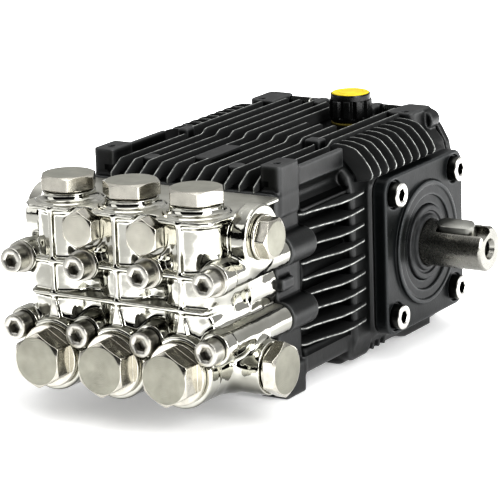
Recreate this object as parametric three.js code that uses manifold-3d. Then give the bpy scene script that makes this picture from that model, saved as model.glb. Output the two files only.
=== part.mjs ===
// A triplex plunger pump for a pressure washer: crankcase, crank train, valve head and fasteners.
// Millimetres, +Z up. +X runs along the crankshaft towards its drive end, and the valve head faces -Y.
// The origin is on the underside, below the crankshaft axis and in line with the middle plunger.
// Inside the root group everything is placed from the crankshaft axis, which lies SHAFT_HEIGHT up.
import * as THREE from "three";
import { mergeVertices } from "three/addons/utils/BufferGeometryUtils.js";
import Module from "manifold-3d";

const wasm = await Module();
wasm.setup();

// Driving dimensions.
const SHAFT_HEIGHT = 55; // crankshaft axis above the base
const PITCH = 37.5; // between neighbouring plungers
const COLUMNS = { left: -PITCH, middle: 0, right: PITCH };
const PLUNGER_RISE = 6.2; // plunger axis above the crankshaft axis
const GAP = 0.3; // between pieces that rest on each other
const RUNNING = 0.1; // radial clearance of a running fit

// Crank train.
const THROW = 5; // half the stroke
const ROD_LENGTH = 70; // crankpin to wrist pin, along Y
const PIN_R = 14; // crankpin
const JOURNAL_R = 15;
const SHAFT_R = 12; // 24 mm drive end
const SHAFT_END = 108;
const KEY = { from: 80.5, to: 102, width: 8, top: 15, angle: 25 };
const GUIDE_R = 15.6; // crosshead bore
const CROSSHEAD_R = 15.5;
const PACKING_R = 14.7;
const SLEEVE = 2.7; // wall round a bore that stands out of a flank
const PLUNGER_R = 10;
const WRIST_R = 4;
const CRANK_PHASE = 120; // between crankpins, degrees
const CRANK_SIDES = 20; // facets of the journals and of what runs on them
// Radius of a faceted bore in which a faceted shaft of radius r turns freely.
const runningBore = (r) => r / Math.cos(Math.PI / CRANK_SIDES) + RUNNING;

// Crankcase.
const MATING_Y = -128; // face that carries the valve head
const POST = { inner: 43.5, outer: 55.5, front: -124, back: -104, top: 65.4 };
const CHAMBER_Y = -60; // front wall of the crank chamber, outside
const REAR_Y = 46;
const SIDE_X = 61.7; // face that carries a bearing cover
const FIN = { pitch: 8.5, thick: 1.8 };
const PANEL = { outer: 55, inner: 52.6, top: 61.8, floor: 52 }; // thin upper wall along each flank
const LOBE = { from: -62, to: -39, low: -52, high: -35.5, out: 57.5 }; // on the lower front corners
const FOOT = { out: 55.4, high: -44, outline: [[-12, -49], [-3, -53.5], [3, -55], [31, -55]] };
const LUG = { x0: 35, x1: 51, y0: 22, top: 63.2, screwY: 42.6, screwZ: 59.3 }; // rear top corners
const LUG_SCREW = { r: 2.8, from: 23, to: 40, holeFrom: 20 };
const COVER = { from: 62, to: 70, size: 85, bolt: 32.8, ring: 33 };
const BEARING = { r: 31, from: 52, to: 68 };
const FILLER = { x: 17, y: 16, seat: 56.5, top: 73.8, r: 11.3 };

// Valve head.
const HEAD_Y = MATING_Y - GAP;
const FRONT_Y = -190.5; // front edges of the webs and ribs
const BARREL_Y = -193.5; // front faces of the suction barrels
const COLUMN_Y = -172.5; // axis of the delivery valves
const COLUMN_R = 16;
const PLATE_Z = 51.4; // top of the head
const NECK = { r: 13.4, top: 56.4, foot: 16.6, footTop: 52.4 }; // round neck under a delivery cap
const CAP_TOP = 64.6;
const SUCTION_Z = -24; // axis of the suction valves
const CAP_FRONT = -207.4;
const CAP_TURN = { left: 0.52, middle: 0.82, right: 0.59 }; // turn of each delivery cap, radians
const OUTLET = { y: -157.2, z: 38.6, end: 64.8, face: 73, bore: 7, port: 8, boss: 16.3 };
const INLET = { y: -158, z: -27, end: 69, face: 77.6, bore: 7.5, port: 8.5, boss: 13.8 };
const PLUG = { z: 41.8, face: -194.6, boss: -186.5, recess: 10.8 };
const BOLT = { spread: 17.1, face: -199, head: 8, boss: 8.3, r: 4, hole: 4.8, end: -107 };
const BOLT_SEATS = { upper: -189.2, lower: -190.7 };
const BOLT_XS = [-1.5, -0.5, 0.5, 1.5].map((step) => step * PITCH);
const BOLT_ZS = { upper: PLUNGER_RISE + BOLT.spread, lower: PLUNGER_RISE - BOLT.spread };
const HEAD_BOLTS = BOLT_XS.flatMap((x) =>
  Object.entries(BOLT_ZS).map(([row, z]) => ({ x, z, row, seat: BOLT_SEATS[row] })),
);

// ---- solids -----------------------------------------------------------------------------------

// A closed three.js geometry as a manifold-3d solid, facing outwards.
function solid(geometry) {
  const bare = geometry.index ? geometry.toNonIndexed() : geometry.clone();
  bare.deleteAttribute("normal");
  bare.deleteAttribute("uv");
  const merged = mergeVertices(bare, 1e-4);
  const index = merged.index.array;
  const kept = [];
  for (let i = 0; i < index.length; i += 3) {
    const [a, b, c] = index.slice(i, i + 3);
    if (a !== b && b !== c && c !== a) kept.push([a, b, c]);
  }
  const made = (triangles) =>
    new wasm.Manifold(
      new wasm.Mesh({
        numProp: 3,
        vertProperties: merged.attributes.position.array,
        triVerts: new Uint32Array(triangles.flat()),
      }),
    );
  const first = made(kept);
  return first.volume() > 0 ? first : made(kept.map(([a, b, c]) => [a, c, b]));
}

const join = (pieces) => pieces.reduce((sum, piece) => sum.add(piece));
const cut = (body, tools) => body.subtract(join(tools));

function box(x0, x1, y0, y1, z0, z1) {
  const shape = new THREE.BoxGeometry(x1 - x0, y1 - y0, z1 - z0);
  return solid(shape.translate((x0 + x1) / 2, (y0 + y1) / 2, (z0 + z1) / 2));
}

// Turns a shape made along +Z so that it runs along the named axis, then moves it to its centre line.
function along(geometry, axis, a, b) {
  if (axis === "x") return geometry.rotateY(Math.PI / 2).rotateX(Math.PI / 2).translate(0, a, b);
  if (axis === "y") return geometry.rotateX(-Math.PI / 2).translate(a, 0, b);
  return geometry.translate(a, b, 0);
}

// Sides of a round shape: a multiple of four, so that quarter turns bring its facets back in line.
const facets = (r) => (r < 9.5 ? 8 : r < 12.3 ? 12 : r < 19 ? 16 : r < 25 ? 20 : 24);
const widest = (profile) => Math.max(...profile.map(([r]) => r));

// A profile of [radius, position along the axis] pairs turned about an axis through (a, b).
function turned(profile, axis, a, b, sides = facets(widest(profile)), phase = 0) {
  const points = profile.map(([r, t]) => new THREE.Vector2(r, t));
  const shape = new THREE.LatheGeometry(points, sides, phase).rotateX(Math.PI / 2);
  return solid(along(shape, axis, a, b));
}

function cylinder(axis, r, from, to, a, b, sides = facets(r), phase = 0) {
  return turned([[0, from], [r, from], [r, to], [0, to]], axis, a, b, sides, phase);
}

function ring(axis, outer, inner, from, to, a, b) {
  const profile = [[inner, from], [outer, from], [outer, to], [inner, to], [inner, from]];
  return turned(profile, axis, a, b);
}

// An outline of [u, v] points run along an axis. (u, v) is (y, z) for x, (x, z) for y and (x, y) for z.
function prism(outline, axis, from, to) {
  const shape = new THREE.Shape(outline.map(([u, v]) => new THREE.Vector2(u, v)));
  const geometry = new THREE.ExtrudeGeometry(shape, { depth: to - from, bevelEnabled: false });
  if (axis === "x") {
    geometry.applyMatrix4(new THREE.Matrix4().set(0, 0, 1, from, 1, 0, 0, 0, 0, 1, 0, 0, 0, 0, 0, 1));
  } else if (axis === "y") {
    geometry.applyMatrix4(new THREE.Matrix4().set(1, 0, 0, 0, 0, 0, 1, from, 0, 1, 0, 0, 0, 0, 0, 1));
  } else {
    geometry.translate(0, 0, from);
  }
  return solid(geometry);
}

// Corners of a rectangle rounded with arcs of radius r.
function roundedRectangle(u0, u1, v0, v1, r, steps = 4) {
  const centres = [[u1 - r, v1 - r], [u0 + r, v1 - r], [u0 + r, v0 + r], [u1 - r, v0 + r]];
  return centres.flatMap(([cu, cv], quarter) =>
    Array.from({ length: steps + 1 }, (_, i) => {
      const angle = ((quarter + i / steps) * Math.PI) / 2;
      return [cu + r * Math.cos(angle), cv + r * Math.sin(angle)];
    }),
  );
}

const flipped = (outline) => outline.map(([u, v]) => [-u, v]);
const steps = (count, first, pitch) => Array.from({ length: count }, (_, i) => first + i * pitch);

// A hexagonal prism across flats, with both edges of its outer end chamfered to a circle.
function hexagon(axis, flats, from, to, a, b, phase = 0) {
  const corner = flats / Math.sqrt(3);
  const inner = (flats / 2) * 0.95;
  const drop = (corner - inner) * 0.5 * Math.sign(to - from);
  const bar = cylinder(axis, corner, from, to, a, b, 6, phase);
  const profile = [[0, from], [corner + 1, from], [corner + 1, to - drop * 1.6], [inner, to], [0, to]];
  return bar.intersect(turned(profile, axis, a, b));
}

// A socket head cap screw along Y or X; its head end is at face and its tip at end.
function capScrew(axis, face, end, a, b, washer) {
  const inward = Math.sign(end - face);
  const under = face + BOLT.head * inward;
  const profile = [[0, face], [6, face], [6.5, face + 0.6 * inward], [6.5, under]];
  if (washer) profile.push([8, under], [8, under + 1.5 * inward], [BOLT.r, under + 1.5 * inward]);
  else profile.push([BOLT.r, under]);
  profile.push([BOLT.r, end], [0, end]);
  const socket = cylinder(axis, 3.46, face - inward, face + 4 * inward, a, b, 6);
  return cut(turned(profile, axis, a, b, 12), [socket]);
}

// ---- crankcase --------------------------------------------------------------------------------

const mirrored = (make) => [make(1), make(-1)];

function housingShell() {
  const half = [[0, -55], [50, -55], [57, -47], [60, -40], [60, 38], [58, 46], [52, 53], [44, 56], [0, 56]];
  return prism([...half, ...flipped(half.slice(1, -1)).reverse()], "y", CHAMBER_Y, REAR_Y);
}

function guideBlock() {
  return join([
    box(-49, 49, -106, CHAMBER_Y + 1, -41, 50),
    prism(roundedRectangle(-55, 55, -52, 52, 3), "y", MATING_Y, -105),
    ...mirrored((s) => box(Math.min(s * 40, s * 57), Math.max(s * 40, s * 57), -124, -105, -55, -38)),
    ...mirrored((s) => box(Math.min(s * 44, s * 57), Math.max(s * 44, s * 57), -106, -57, -46, -33)),
    ...mirrored((s) => cylinder("y", GUIDE_R + SLEEVE, -106, CHAMBER_Y + 1, s * PITCH, PLUNGER_RISE)),
  ]);
}

function cornerPosts() {
  return mirrored((s) => {
    const [u0, u1] = s > 0 ? [POST.inner, POST.outer] : [-POST.outer, -POST.inner];
    return prism(roundedRectangle(u0, u1, POST.front, POST.back, 2.5, 3), "z", 40, POST.top);
  });
}

// Thin upper panel, concave channel and ledge along each flank, above the flank fins.
function upperFlanks() {
  const { outer, inner, top, floor } = PANEL;
  const channel = steps(5, 0, 0.25).map((t) => [outer - 4.5 * Math.sin(t * Math.PI), floor - 12 * t]);
  const outline = [[40, floor], [inner, floor], [inner, top], [outer, top], ...channel];
  outline.push([57, 39.8], [57, 38.4], [40, 38.4]);
  return mirrored((s) =>
    prism(s > 0 ? outline : flipped(outline), "y", POST.back - 1, CHAMBER_Y + 1),
  );
}

// Flank fins: narrow beside the front plate, then swept out to the bearing pad.
function flankFins() {
  const outline = [[46, -106], [57, -106], [57.3, -98], [59.5, -88], [62.6, -77], [63.2, -66], [61.6, -50]];
  outline.push([46, -50]);
  return mirrored((s) =>
    steps(9, -31, FIN.pitch).map((z) =>
      prism(s > 0 ? outline : flipped(outline), "z", z - FIN.thick / 2, z + FIN.thick / 2),
    ),
  ).flat();
}

// Top fins run along Y, step up over the crank chamber and slope down at the head.
function topFins() {
  return steps(11, -5 * FIN.pitch, FIN.pitch).map((x) => {
    const back = x > FIN.pitch / 2 && x < 3.5 * FIN.pitch ? -15 : 36;
    const outline = [[-127.5, 48], [-127.5, 54.5], [-118, 60.2], [-52.5, 60.2], [-50, 62.6]];
    outline.push([back, 62.6], [back, 48]);
    return prism(outline, "x", x - FIN.thick / 2, x + FIN.thick / 2);
  });
}

// Fins wrapped over the shoulders of the crank chamber.
function shoulderFins() {
  const outline = [[42, 50], [42, 62], [52, 61.4], [58, 59.8], [62.5, 55.6], [66, 51], [69, 44.5], [56, 42]];
  return mirrored((s) =>
    steps(9, -51.5, FIN.pitch).map((y) =>
      prism(s > 0 ? outline : flipped(outline), "y", y - FIN.thick / 2, y + FIN.thick / 2),
    ),
  ).flat();
}

function sidePads() {
  const h = COVER.size / 2;
  const outline = roundedRectangle(-h, h, -h, h, 8);
  return [prism(outline, "x", 55, SIDE_X), prism(outline, "x", -SIDE_X, -55)];
}

// Corner lugs at the rear top, small lugs between them, and screw bosses for the rear cover.
function rearLugs() {
  const { x0, x1, y0, top } = LUG;
  const corners = [[x0, x1], [-x1, -x0]].map(([u0, u1]) =>
    prism(roundedRectangle(u0, u1, y0, REAR_Y, 4, 3), "z", 50, top),
  );
  const small = [-16, 18.5].map((x) =>
    prism(roundedRectangle(x - 3.2, x + 3.2, 33, REAR_Y, 2, 2), "z", 50, 62.2),
  );
  const bosses = mirrored((s) => cylinder("y", 5, 37, REAR_Y, s * 50.5, 56.5));
  return [...corners, ...small, ...bosses];
}

// A rounded lobe and three short ribs under each side pad.
function lowerCorners() {
  const { from, to, low, high, out } = LOBE;
  return mirrored((s) => {
    const side = (outer) => [Math.min(s * 48, s * outer), Math.max(s * 48, s * outer)];
    const ribs = steps(3, to + 5, 6).map((y) => box(...side(out - 1), y - 0.9, y + 0.9, low, -41));
    return join([prism(roundedRectangle(from, to, low, high, 5, 3), "x", ...side(out)), ...ribs]);
  });
}

// Feet under the side pads, level with the underside.
function sideFeet() {
  const { out, high, outline } = FOOT;
  const [front, back] = [outline[0][0] - 2, outline.at(-1)[0]];
  const side = [[front, high], ...outline, [back, high]];
  return [prism(side, "x", 46, out), prism(side, "x", -out, -46)];
}

function headBoltBosses() {
  return mirrored((s) =>
    Object.values(BOLT_ZS).map((z) =>
      cylinder("y", 8.3, MATING_Y, -103.5, s * 1.5 * PITCH, z),
    ),
  ).flat();
}

function crankcase() {
  const topWall = box(-50, 50, -120, CHAMBER_Y + 1, 44, 53);
  const fillerBoss = cylinder("z", 13.6, 50, FILLER.seat, FILLER.x, FILLER.y);
  const body = join([
    housingShell(),
    guideBlock(),
    topWall,
    ...cornerPosts(),
    ...upperFlanks(),
    ...flankFins(),
    ...topFins(),
    ...shoulderFins(),
    ...sidePads(),
    ...rearLugs(),
    ...lowerCorners(),
    ...sideFeet(),
    ...headBoltBosses(),
    fillerBoss,
  ]);
  const coverBolts = [-1, 1].flatMap((sy) =>
    [-1, 1].map((sz) =>
      cylinder("x", BOLT.hole, 44, SIDE_X + 1, sy * COVER.bolt, sz * COVER.bolt),
    ),
  );
  const { r, to, holeFrom } = LUG_SCREW;
  const studHoles = mirrored((s) =>
    cylinder("x", r + GAP, s * holeFrom, s * (to + 1), LUG.screwY, LUG.screwZ),
  );
  return cut(body, [
    box(-50, 50, -50, REAR_Y + 1, -48, 48),
    cylinder("x", BEARING.r + GAP, -SIDE_X - 1, SIDE_X + 1, 0, 0),
    cylinder("z", 8.6, 40, FILLER.seat + 1, FILLER.x, FILLER.y, 12),
    ...Object.values(COLUMNS).map((x) =>
      cylinder("y", GUIDE_R, MATING_Y - 1, -49, x, PLUNGER_RISE),
    ),
    ...HEAD_BOLTS.map(({ x, z }) => cylinder("y", BOLT.hole, MATING_Y - 1, BOLT.end + 1, x, z)),
    ...coverBolts,
    ...studHoles,
  ]);
}

// Stud screwed into the inner side of a rear lug.
function lugScrew(side) {
  const { r, from, to } = LUG_SCREW;
  const profile = [[0, from], [r - 0.6, from], [r, from + 0.6], [r, to], [0, to]];
  return turned(profile.map(([radius, x]) => [radius, side * x]), "x", LUG.screwY, LUG.screwZ);
}

function rearCover() {
  const from = REAR_Y + GAP;
  const bulge = prism(roundedRectangle(-51, 51, -43, 50, 8), "y", from, 56);
  const half = [[48, -50], [56, -46], [59, -38], [60, 36], [58.5, 44], [54, 52], [47, 59.5], [40, 60.5]];
  const flange = prism([...half, ...flipped(half).reverse()], "y", from, 51);
  const hollow = prism(roundedRectangle(-46, 46, -38, 45, 6), "y", from - 1, 52);
  const glass = cylinder("y", 12, 50, 57, 0, -6);
  const drain = cylinder("y", 6.8, from - 1, 57, 0, -34);
  return cut(join([bulge, flange]), [hollow, glass, drain]);
}

function bearingCover(side) {
  const h = COVER.size / 2;
  const [from, to] = side > 0 ? [COVER.from, COVER.to] : [-COVER.to, -COVER.from];
  const plate = prism(roundedRectangle(-h, h, -h, h, 8), "x", from, to);
  const raised = cylinder("x", COVER.ring, side * 68, side * 72, 0, 0);
  const recess = cylinder("x", BEARING.r + GAP, side * 61, side * (BEARING.to + GAP), 0, 0);
  const holes = [-1, 1].flatMap((sy) =>
    [-1, 1].flatMap((sz) => [
      cylinder("x", BOLT.hole, side * 61, side * 73, sy * COVER.bolt, sz * COVER.bolt),
      cylinder("x", 7, side * 66.3, side * 73, sy * COVER.bolt, sz * COVER.bolt),
    ]),
  );
  const body = join([plate, raised]);
  if (side < 0) return cut(body, [recess, ...holes]);
  const sealSeat = cylinder("x", 20.3, 67, 73, 0, 0);
  return cut(body, [recess, sealSeat, ...holes]);
}

function shaftSeal() {
  const inner = runningBore(SHAFT_R);
  const profile = [[inner, 68.9], [20, 68.9], [20, 71.6], [16, 71.6], [15, 73], [inner, 73], [inner, 68.9]];
  return turned(profile, "x", 0, 0, CRANK_SIDES);
}

// A ball bearing closed as one ring, with the groove between its races on the outer face.
function bearing(side) {
  const inner = runningBore(JOURNAL_R);
  const { r, from, to } = BEARING;
  const profile = [
    [inner, from], [r, from], [r, to], [26.5, to], [26.5, to - 1.5], [19, to - 1.5], [19, to], [inner, to],
    [inner, from],
  ];
  return turned(profile.map(([radius, x]) => [radius, side * x]), "x", 0, 0, CRANK_SIDES);
}

// ---- crank train ------------------------------------------------------------------------------

// Centre of a crankpin at rest, [y, z] from the crankshaft axis.
function pinCentre(index) {
  const angle = (index * CRANK_PHASE * Math.PI) / 180;
  return [THROW * Math.cos(angle), THROW * Math.sin(angle)];
}

function crankshaft() {
  const xs = Object.values(COLUMNS);
  const half = 10.4;
  const pins = xs.map((x, i) => cylinder("x", PIN_R, x - half, x + half, ...pinCentre(i), CRANK_SIDES));
  const webs = [-PITCH / 2, PITCH / 2].map((x) =>
    cylinder("x", 21, x - PITCH / 2 + half, x + PITCH / 2 - half, 0, 0),
  );
  const ends = mirrored((s) => cylinder("x", 19.6, s * (PITCH + half), s * 51.5, 0, 0));
  const journals = mirrored((s) => cylinder("x", JOURNAL_R, s * 51, s * 68, 0, 0, CRANK_SIDES));
  const tail = [[0, 67], [SHAFT_R, 67], [SHAFT_R, SHAFT_END - 1.2], [SHAFT_R - 1.2, SHAFT_END]];
  tail.push([0, SHAFT_END]);
  const slot = new THREE.BoxGeometry(SHAFT_END - KEY.from + 1, KEY.width + 2 * GAP, 8);
  slot.translate((SHAFT_END + KEY.from) / 2 + 0.2, 0, 8 + 4).rotateX((KEY.angle * Math.PI) / 180);
  const centreHole = turned(
    [[0, 94], [3.4, 96], [3.4, 105.6], [5.4, SHAFT_END + 0.1], [0, SHAFT_END + 0.1]], "x", 0, 0,
  );
  return cut(join([...pins, ...webs, ...ends, ...journals, turned(tail, "x", 0, 0, CRANK_SIDES)]), [
    solid(slot),
    centreHole,
  ]);
}

function shaftKey() {
  const h = KEY.width / 2;
  const outline = roundedRectangle(KEY.from + GAP, KEY.to, -h, h, h - 0.01, 5);
  return prism(outline, "z", 8 + GAP, KEY.top);
}

// Big end on the crankpin at the origin; the small end lies towards -Y, on the plungers' level.
function connectingRod() {
  const small = [-ROD_LENGTH, PLUNGER_RISE];
  const web = [[-ROD_LENGTH, 3], [-17, -4], [-17, 4], [-ROD_LENGTH, 9.2]];
  const shoulder = [[-26, -4], [-16, -9], [-16, 10], [-26, 6.5]];
  const bigEnd = cylinder("x", 19.3, -9.6, 9.6, 0, 0);
  const smallEnd = cylinder("x", 6.5, -6, 6, ...small);
  return cut(join([prism(web, "x", -5, 5), prism(shoulder, "x", -7.5, 7.5), bigEnd, smallEnd]), [
    cylinder("x", runningBore(PIN_R), -11, 11, 0, 0, CRANK_SIDES),
    cylinder("x", WRIST_R + RUNNING, -7, 7, ...small),
  ]);
}

const wristPin = () => ring("x", WRIST_R, 1.6, -6.5, 6.5, 0, 0);

// Guide piston with a pocket, open at the back, in which the small end has room to circle.
function crosshead() {
  const skirt = turned([[0, -98], [9.4, -98], [CROSSHEAD_R, -94], [CROSSHEAD_R, -58], [0, -58]], "y", 0, 0);
  const pocket = prism(roundedRectangle(-7.2, 7.2, -12, 12, 1.5, 2), "y", -88, -57);
  const pinHole = cylinder("x", WRIST_R + GAP, -17, 17, -ROD_LENGTH, 0);
  return cut(skirt, [pocket, pinHole]);
}

// Ceramic sleeve on its nose: a rounded front end and a groove at the root.
function plunger() {
  const r = PLUNGER_R;
  const profile = [[0, -98.3], [9.4, -98.3], [9.4, -101], [r, -101.6], [r, -164.5], [r - 1.5, -166]];
  profile.push([0, -166]);
  return turned(profile, "y", 0, 0, 16);
}

function plungerPacking() {
  const inner = PLUNGER_R + RUNNING;
  const profile = [
    [inner, -128.8], [PACKING_R, -128.8], [PACKING_R, -135], [13.6, -135.6], [PACKING_R, -136.2],
    [PACKING_R, -145.6], [inner, -145.6], [inner, -128.8],
  ];
  return turned(profile, "y", 0, 0, 16);
}

// ---- valve head -------------------------------------------------------------------------------

function headCasting() {
  const xs = Object.values(COLUMNS);
  const columns = xs.flatMap((x) => [
    cylinder("z", COLUMN_R, -8, PLATE_Z, x, COLUMN_Y),
    cylinder("z", NECK.foot, PLATE_Z - 3, NECK.footTop, x, COLUMN_Y),
    cylinder("z", NECK.r, PLATE_Z - 3, NECK.top, x, COLUMN_Y),
    cylinder("y", 18.4, BARREL_Y, -140, x, SUCTION_Z),
  ]);
  const bolts = HEAD_BOLTS.map(({ x, z, seat }) =>
    cylinder("y", BOLT.boss, seat, HEAD_Y, x, z),
  );
  const webs = [[BOLT_ZS.upper, 56.2], [PLUNGER_RISE, 52]].map(([z, half]) =>
    prism(roundedRectangle(-half, half, FRONT_Y, COLUMN_Y, 4, 3), "z", z - 1.2, z + 1.2),
  );
  const plateHalf = [[50, FRONT_Y], [54.5, FRONT_Y + 4], [57.6, -150], [57.6, HEAD_Y]];
  const plate = prism([...plateHalf, ...flipped(plateHalf).reverse()], "z", PLATE_Z - 2.4, PLATE_Z);
  // Side walls between the bolt rows, with two long swells and a groove level with the plungers.
  const sideWalls = mirrored((s) =>
    join([
      box(Math.min(s * 40, s * 51.5), Math.max(s * 40, s * 51.5), -187, -138, -10, 24),
      cylinder("y", 6, -186, -140, s * 47.4, PLUNGER_RISE + 6.6, 12),
      cylinder("y", 6, -186, -140, s * 47.4, PLUNGER_RISE - 6.6, 12),
    ]),
  );
  const ribs = xs.map((x) => {
    const outline = [[x - 1.2, 50], [x - 1.2, 6], [x - 4.2, -8], [x + 4.2, -8], [x + 1.2, 6], [x + 1.2, 50]];
    return prism(outline, "y", FRONT_Y, COLUMN_Y);
  });
  const plugBosses = [-PITCH / 2, PITCH / 2].map((x) =>
    cylinder("y", 11.4, PLUG.boss, COLUMN_Y, x, PLUG.z - 2),
  );
  const inletBar = cylinder("x", INLET.boss, -INLET.end, INLET.end, INLET.y, INLET.z);
  const outletEnds = mirrored((s) =>
    cylinder("x", OUTLET.boss, s * 46, s * OUTLET.end, OUTLET.y, OUTLET.z),
  );
  return join([
    box(-50.3, 50.3, -162, HEAD_Y, -40, 50.2),
    box(-PITCH, PITCH, -186, -150, -38, -8),
    box(-PITCH, PITCH, -179, -150, -9, 34),
    plate,
    ...sideWalls,
    ...mirrored((s) => cylinder("y", PACKING_R + SLEEVE, -152, HEAD_Y, s * PITCH, PLUNGER_RISE)),
    ...columns,
    ...bolts,
    ...webs,
    ...ribs,
    ...plugBosses,
    inletBar,
    ...outletEnds,
  ]);
}

function valveHead() {
  const bores = Object.values(COLUMNS).flatMap((x) => [
    cylinder("z", 11.5, 27, NECK.top + 1, x, COLUMN_Y),
    cylinder("z", 7, PLUNGER_RISE, 28, x, COLUMN_Y),
    cylinder("y", PLUNGER_R + GAP, -180, HEAD_Y + 1, x, PLUNGER_RISE, 16),
    cylinder("y", PACKING_R + GAP, -146, HEAD_Y + 1, x, PLUNGER_RISE),
    cylinder("y", 13, BARREL_Y - 1, -177, x, SUCTION_Z),
    cylinder("y", 7.5, -178, INLET.y, x, SUCTION_Z),
    cylinder("z", 4, SUCTION_Z + 8, PLUNGER_RISE, x, -181),
  ]);
  const ports = [OUTLET, INLET].flatMap((g) => [
    cylinder("x", g.bore, -g.end - 1, g.end + 1, g.y, g.z),
    cylinder("x", g.port, -g.end - 1, -g.end + 13, g.y, g.z),
    cylinder("x", g.port + 0.2, g.end - 13, g.end + 1, g.y, g.z),
  ]);
  const plugs = [-PITCH / 2, PITCH / 2].flatMap((x) => [
    cylinder("y", 6.6, PLUG.boss - 1, OUTLET.y, x, PLUG.z),
    cylinder("y", PLUG.recess, FRONT_Y - 8, PLUG.boss, x, PLUG.z),
  ]);
  const bolts = HEAD_BOLTS.flatMap(({ x, z, seat }) => [
    cylinder("y", BOLT.hole, seat - 1, HEAD_Y + 1, x, z),
    cylinder("y", BOLT.boss + 0.3, BARREL_Y - 1, seat, x, z),
  ]);
  return cut(headCasting(), [...bores, ...ports, ...plugs, ...bolts]);
}

// Screwed valve cap: hexagon, round collar, plain plug and a bored guide for the valve's stem.
function valveCap(axis, { flats, phase, outer, collar, collarR, seat, inner, radius, guideEnd }, a, b) {
  const inward = Math.sign(inner - outer);
  const body = join([
    hexagon(axis, flats, collar, outer, a, b, phase),
    cylinder(axis, collarR, collar - 0.5 * inward, seat, a, b),
    cylinder(axis, radius, seat - 0.5 * inward, inner, a, b),
    cylinder(axis, 4.5, inner - inward, guideEnd, a, b),
  ]);
  return cut(body, [cylinder(axis, 2.4, inner - 3 * inward, guideEnd + inward, a, b)]);
}

function suctionCap(x) {
  const seat = BARREL_Y - GAP;
  const head = { flats: 25, phase: 0, outer: CAP_FRONT, collar: seat - 3, collarR: 16 };
  return valveCap("y", { ...head, seat, inner: -186, radius: 12.6, guideEnd: -184 }, x, SUCTION_Z);
}

function deliveryCap(side, x) {
  const seat = NECK.top + GAP;
  const head = { flats: 26, phase: CAP_TURN[side], outer: CAP_TOP, collar: seat + 0.9, collarR: 12.7 };
  return valveCap("z", { ...head, seat, inner: 49, radius: 11.1, guideEnd: 37 }, x, COLUMN_Y);
}

// Mushroom valve: a disc on its seat and a stem that slides in the cap.
function valvePoppet(axis, seat, away, discR, stemEnd, a, b) {
  const t = seat + away * GAP;
  const profile = [[0, t], [discR - 1, t], [discR, t + away], [discR, t + 2.4 * away], [2.1, t + 3 * away]];
  profile.push([2.1, stemEnd], [0, stemEnd]);
  return turned(profile, axis, a, b);
}

function galleryPlug(x) {
  return join([
    hexagon("y", 17, PLUG.boss - GAP, PLUG.face, x, PLUG.z),
    cylinder("y", 6, PLUG.boss - GAP - 1, -181, x, PLUG.z),
  ]);
}

function portPlug(g, flats, collar, phase) {
  const seat = g.end + GAP;
  return join([
    hexagon("x", flats, seat + 1.5, g.face, g.y, g.z, phase),
    cylinder("x", collar, seat, seat + 2.2, g.y, g.z),
    cylinder("x", g.port - 0.2, g.end - 11, seat + 1, g.y, g.z),
  ]);
}

// ---- oil fittings -----------------------------------------------------------------------------

function oilCap() {
  const { x, y, seat, top, r } = FILLER;
  const base = seat + 1.6 + GAP;
  const profile = [[0, 44], [2.4, 44], [2.4, 48], [8.2, 48], [8.2, base], [10.2, base], [r, base + 2]];
  profile.push([r, top - 1.4], [10.9, top - 0.4], [10.4, top - 0.4], [10.4, top - 1.2], [0, top - 1.2]);
  const reach = r + 0.5;
  const flutes = steps(12, 0, Math.PI / 6).map((angle) =>
    cylinder("z", 1.3, base + 3, top - 3, x + reach * Math.cos(angle), y + reach * Math.sin(angle), 6),
  );
  return cut(turned(profile, "z", x, y), flutes);
}

const oilCapDisc = () =>
  cylinder("z", 10.1, FILLER.top - 1.2 + GAP, FILLER.top, FILLER.x, FILLER.y);

const oilCapGasket = () =>
  ring("z", 11.2, 8.6, FILLER.seat + GAP, FILLER.seat + 1.6, FILLER.x, FILLER.y);

function sightGlass() {
  return turned([[0, 52.5], [11, 52.5], [11, 56.3], [12.5, 56.3], [12.5, 58.5], [11.5, 59.5], [8.5, 59.5],
    [8, 58.2], [0, 58.2]], "y", 0, -6);
}

function drainPlug() {
  return join([
    hexagon("y", 17, 57.5, 63, 0, -34, Math.PI / 6),
    cylinder("y", 11, 56.3, 58, 0, -34),
    cylinder("y", 6, 47, 57, 0, -34),
  ]);
}

// ---- assembly ---------------------------------------------------------------------------------

const FINISH = {
  casting: [0x17191a, 0.55, 0.2],
  cover: [0x33383a, 0.5, 0.25],
  nickel: [0xd8d4c8, 0.16, 1.0],
  capSteel: [0xb9b5a8, 0.38, 1.0],
  steel: [0x8d8d86, 0.35, 1.0],
  boltSteel: [0x70726c, 0.4, 0.9],
  ceramic: [0xf1efe6, 0.25, 0.0],
  rubber: [0x202224, 0.7, 0.0],
  bronze: [0xa98a55, 0.4, 0.9],
  blackPlastic: [0x0d0e0e, 0.4, 0.0],
  yellow: [0xd9c22e, 0.45, 0.0],
  glass: [0xcfd6cf, 0.1, 0.0],
  aluminium: [0xa9aba8, 0.45, 0.9],
};

function mesh(name, made, finish) {
  const { vertProperties, triVerts } = made.getMesh();
  const geometry = new THREE.BufferGeometry();
  geometry.setAttribute("position", new THREE.BufferAttribute(new Float32Array(vertProperties), 3));
  geometry.setIndex(new THREE.BufferAttribute(new Uint32Array(triVerts), 1));
  geometry.computeVertexNormals();
  const [color, roughness, metalness] = FINISH[finish];
  const material = new THREE.MeshStandardMaterial({ color, roughness, metalness, flatShading: true });
  const made3d = new THREE.Mesh(geometry, material);
  made3d.name = name;
  return made3d;
}

function placed(child, x, y, z, turn = 0) {
  child.position.set(x, y, z);
  child.rotation.x = turn;
  return child;
}

const pump = new THREE.Group();
pump.position.z = SHAFT_HEIGHT;

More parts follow.
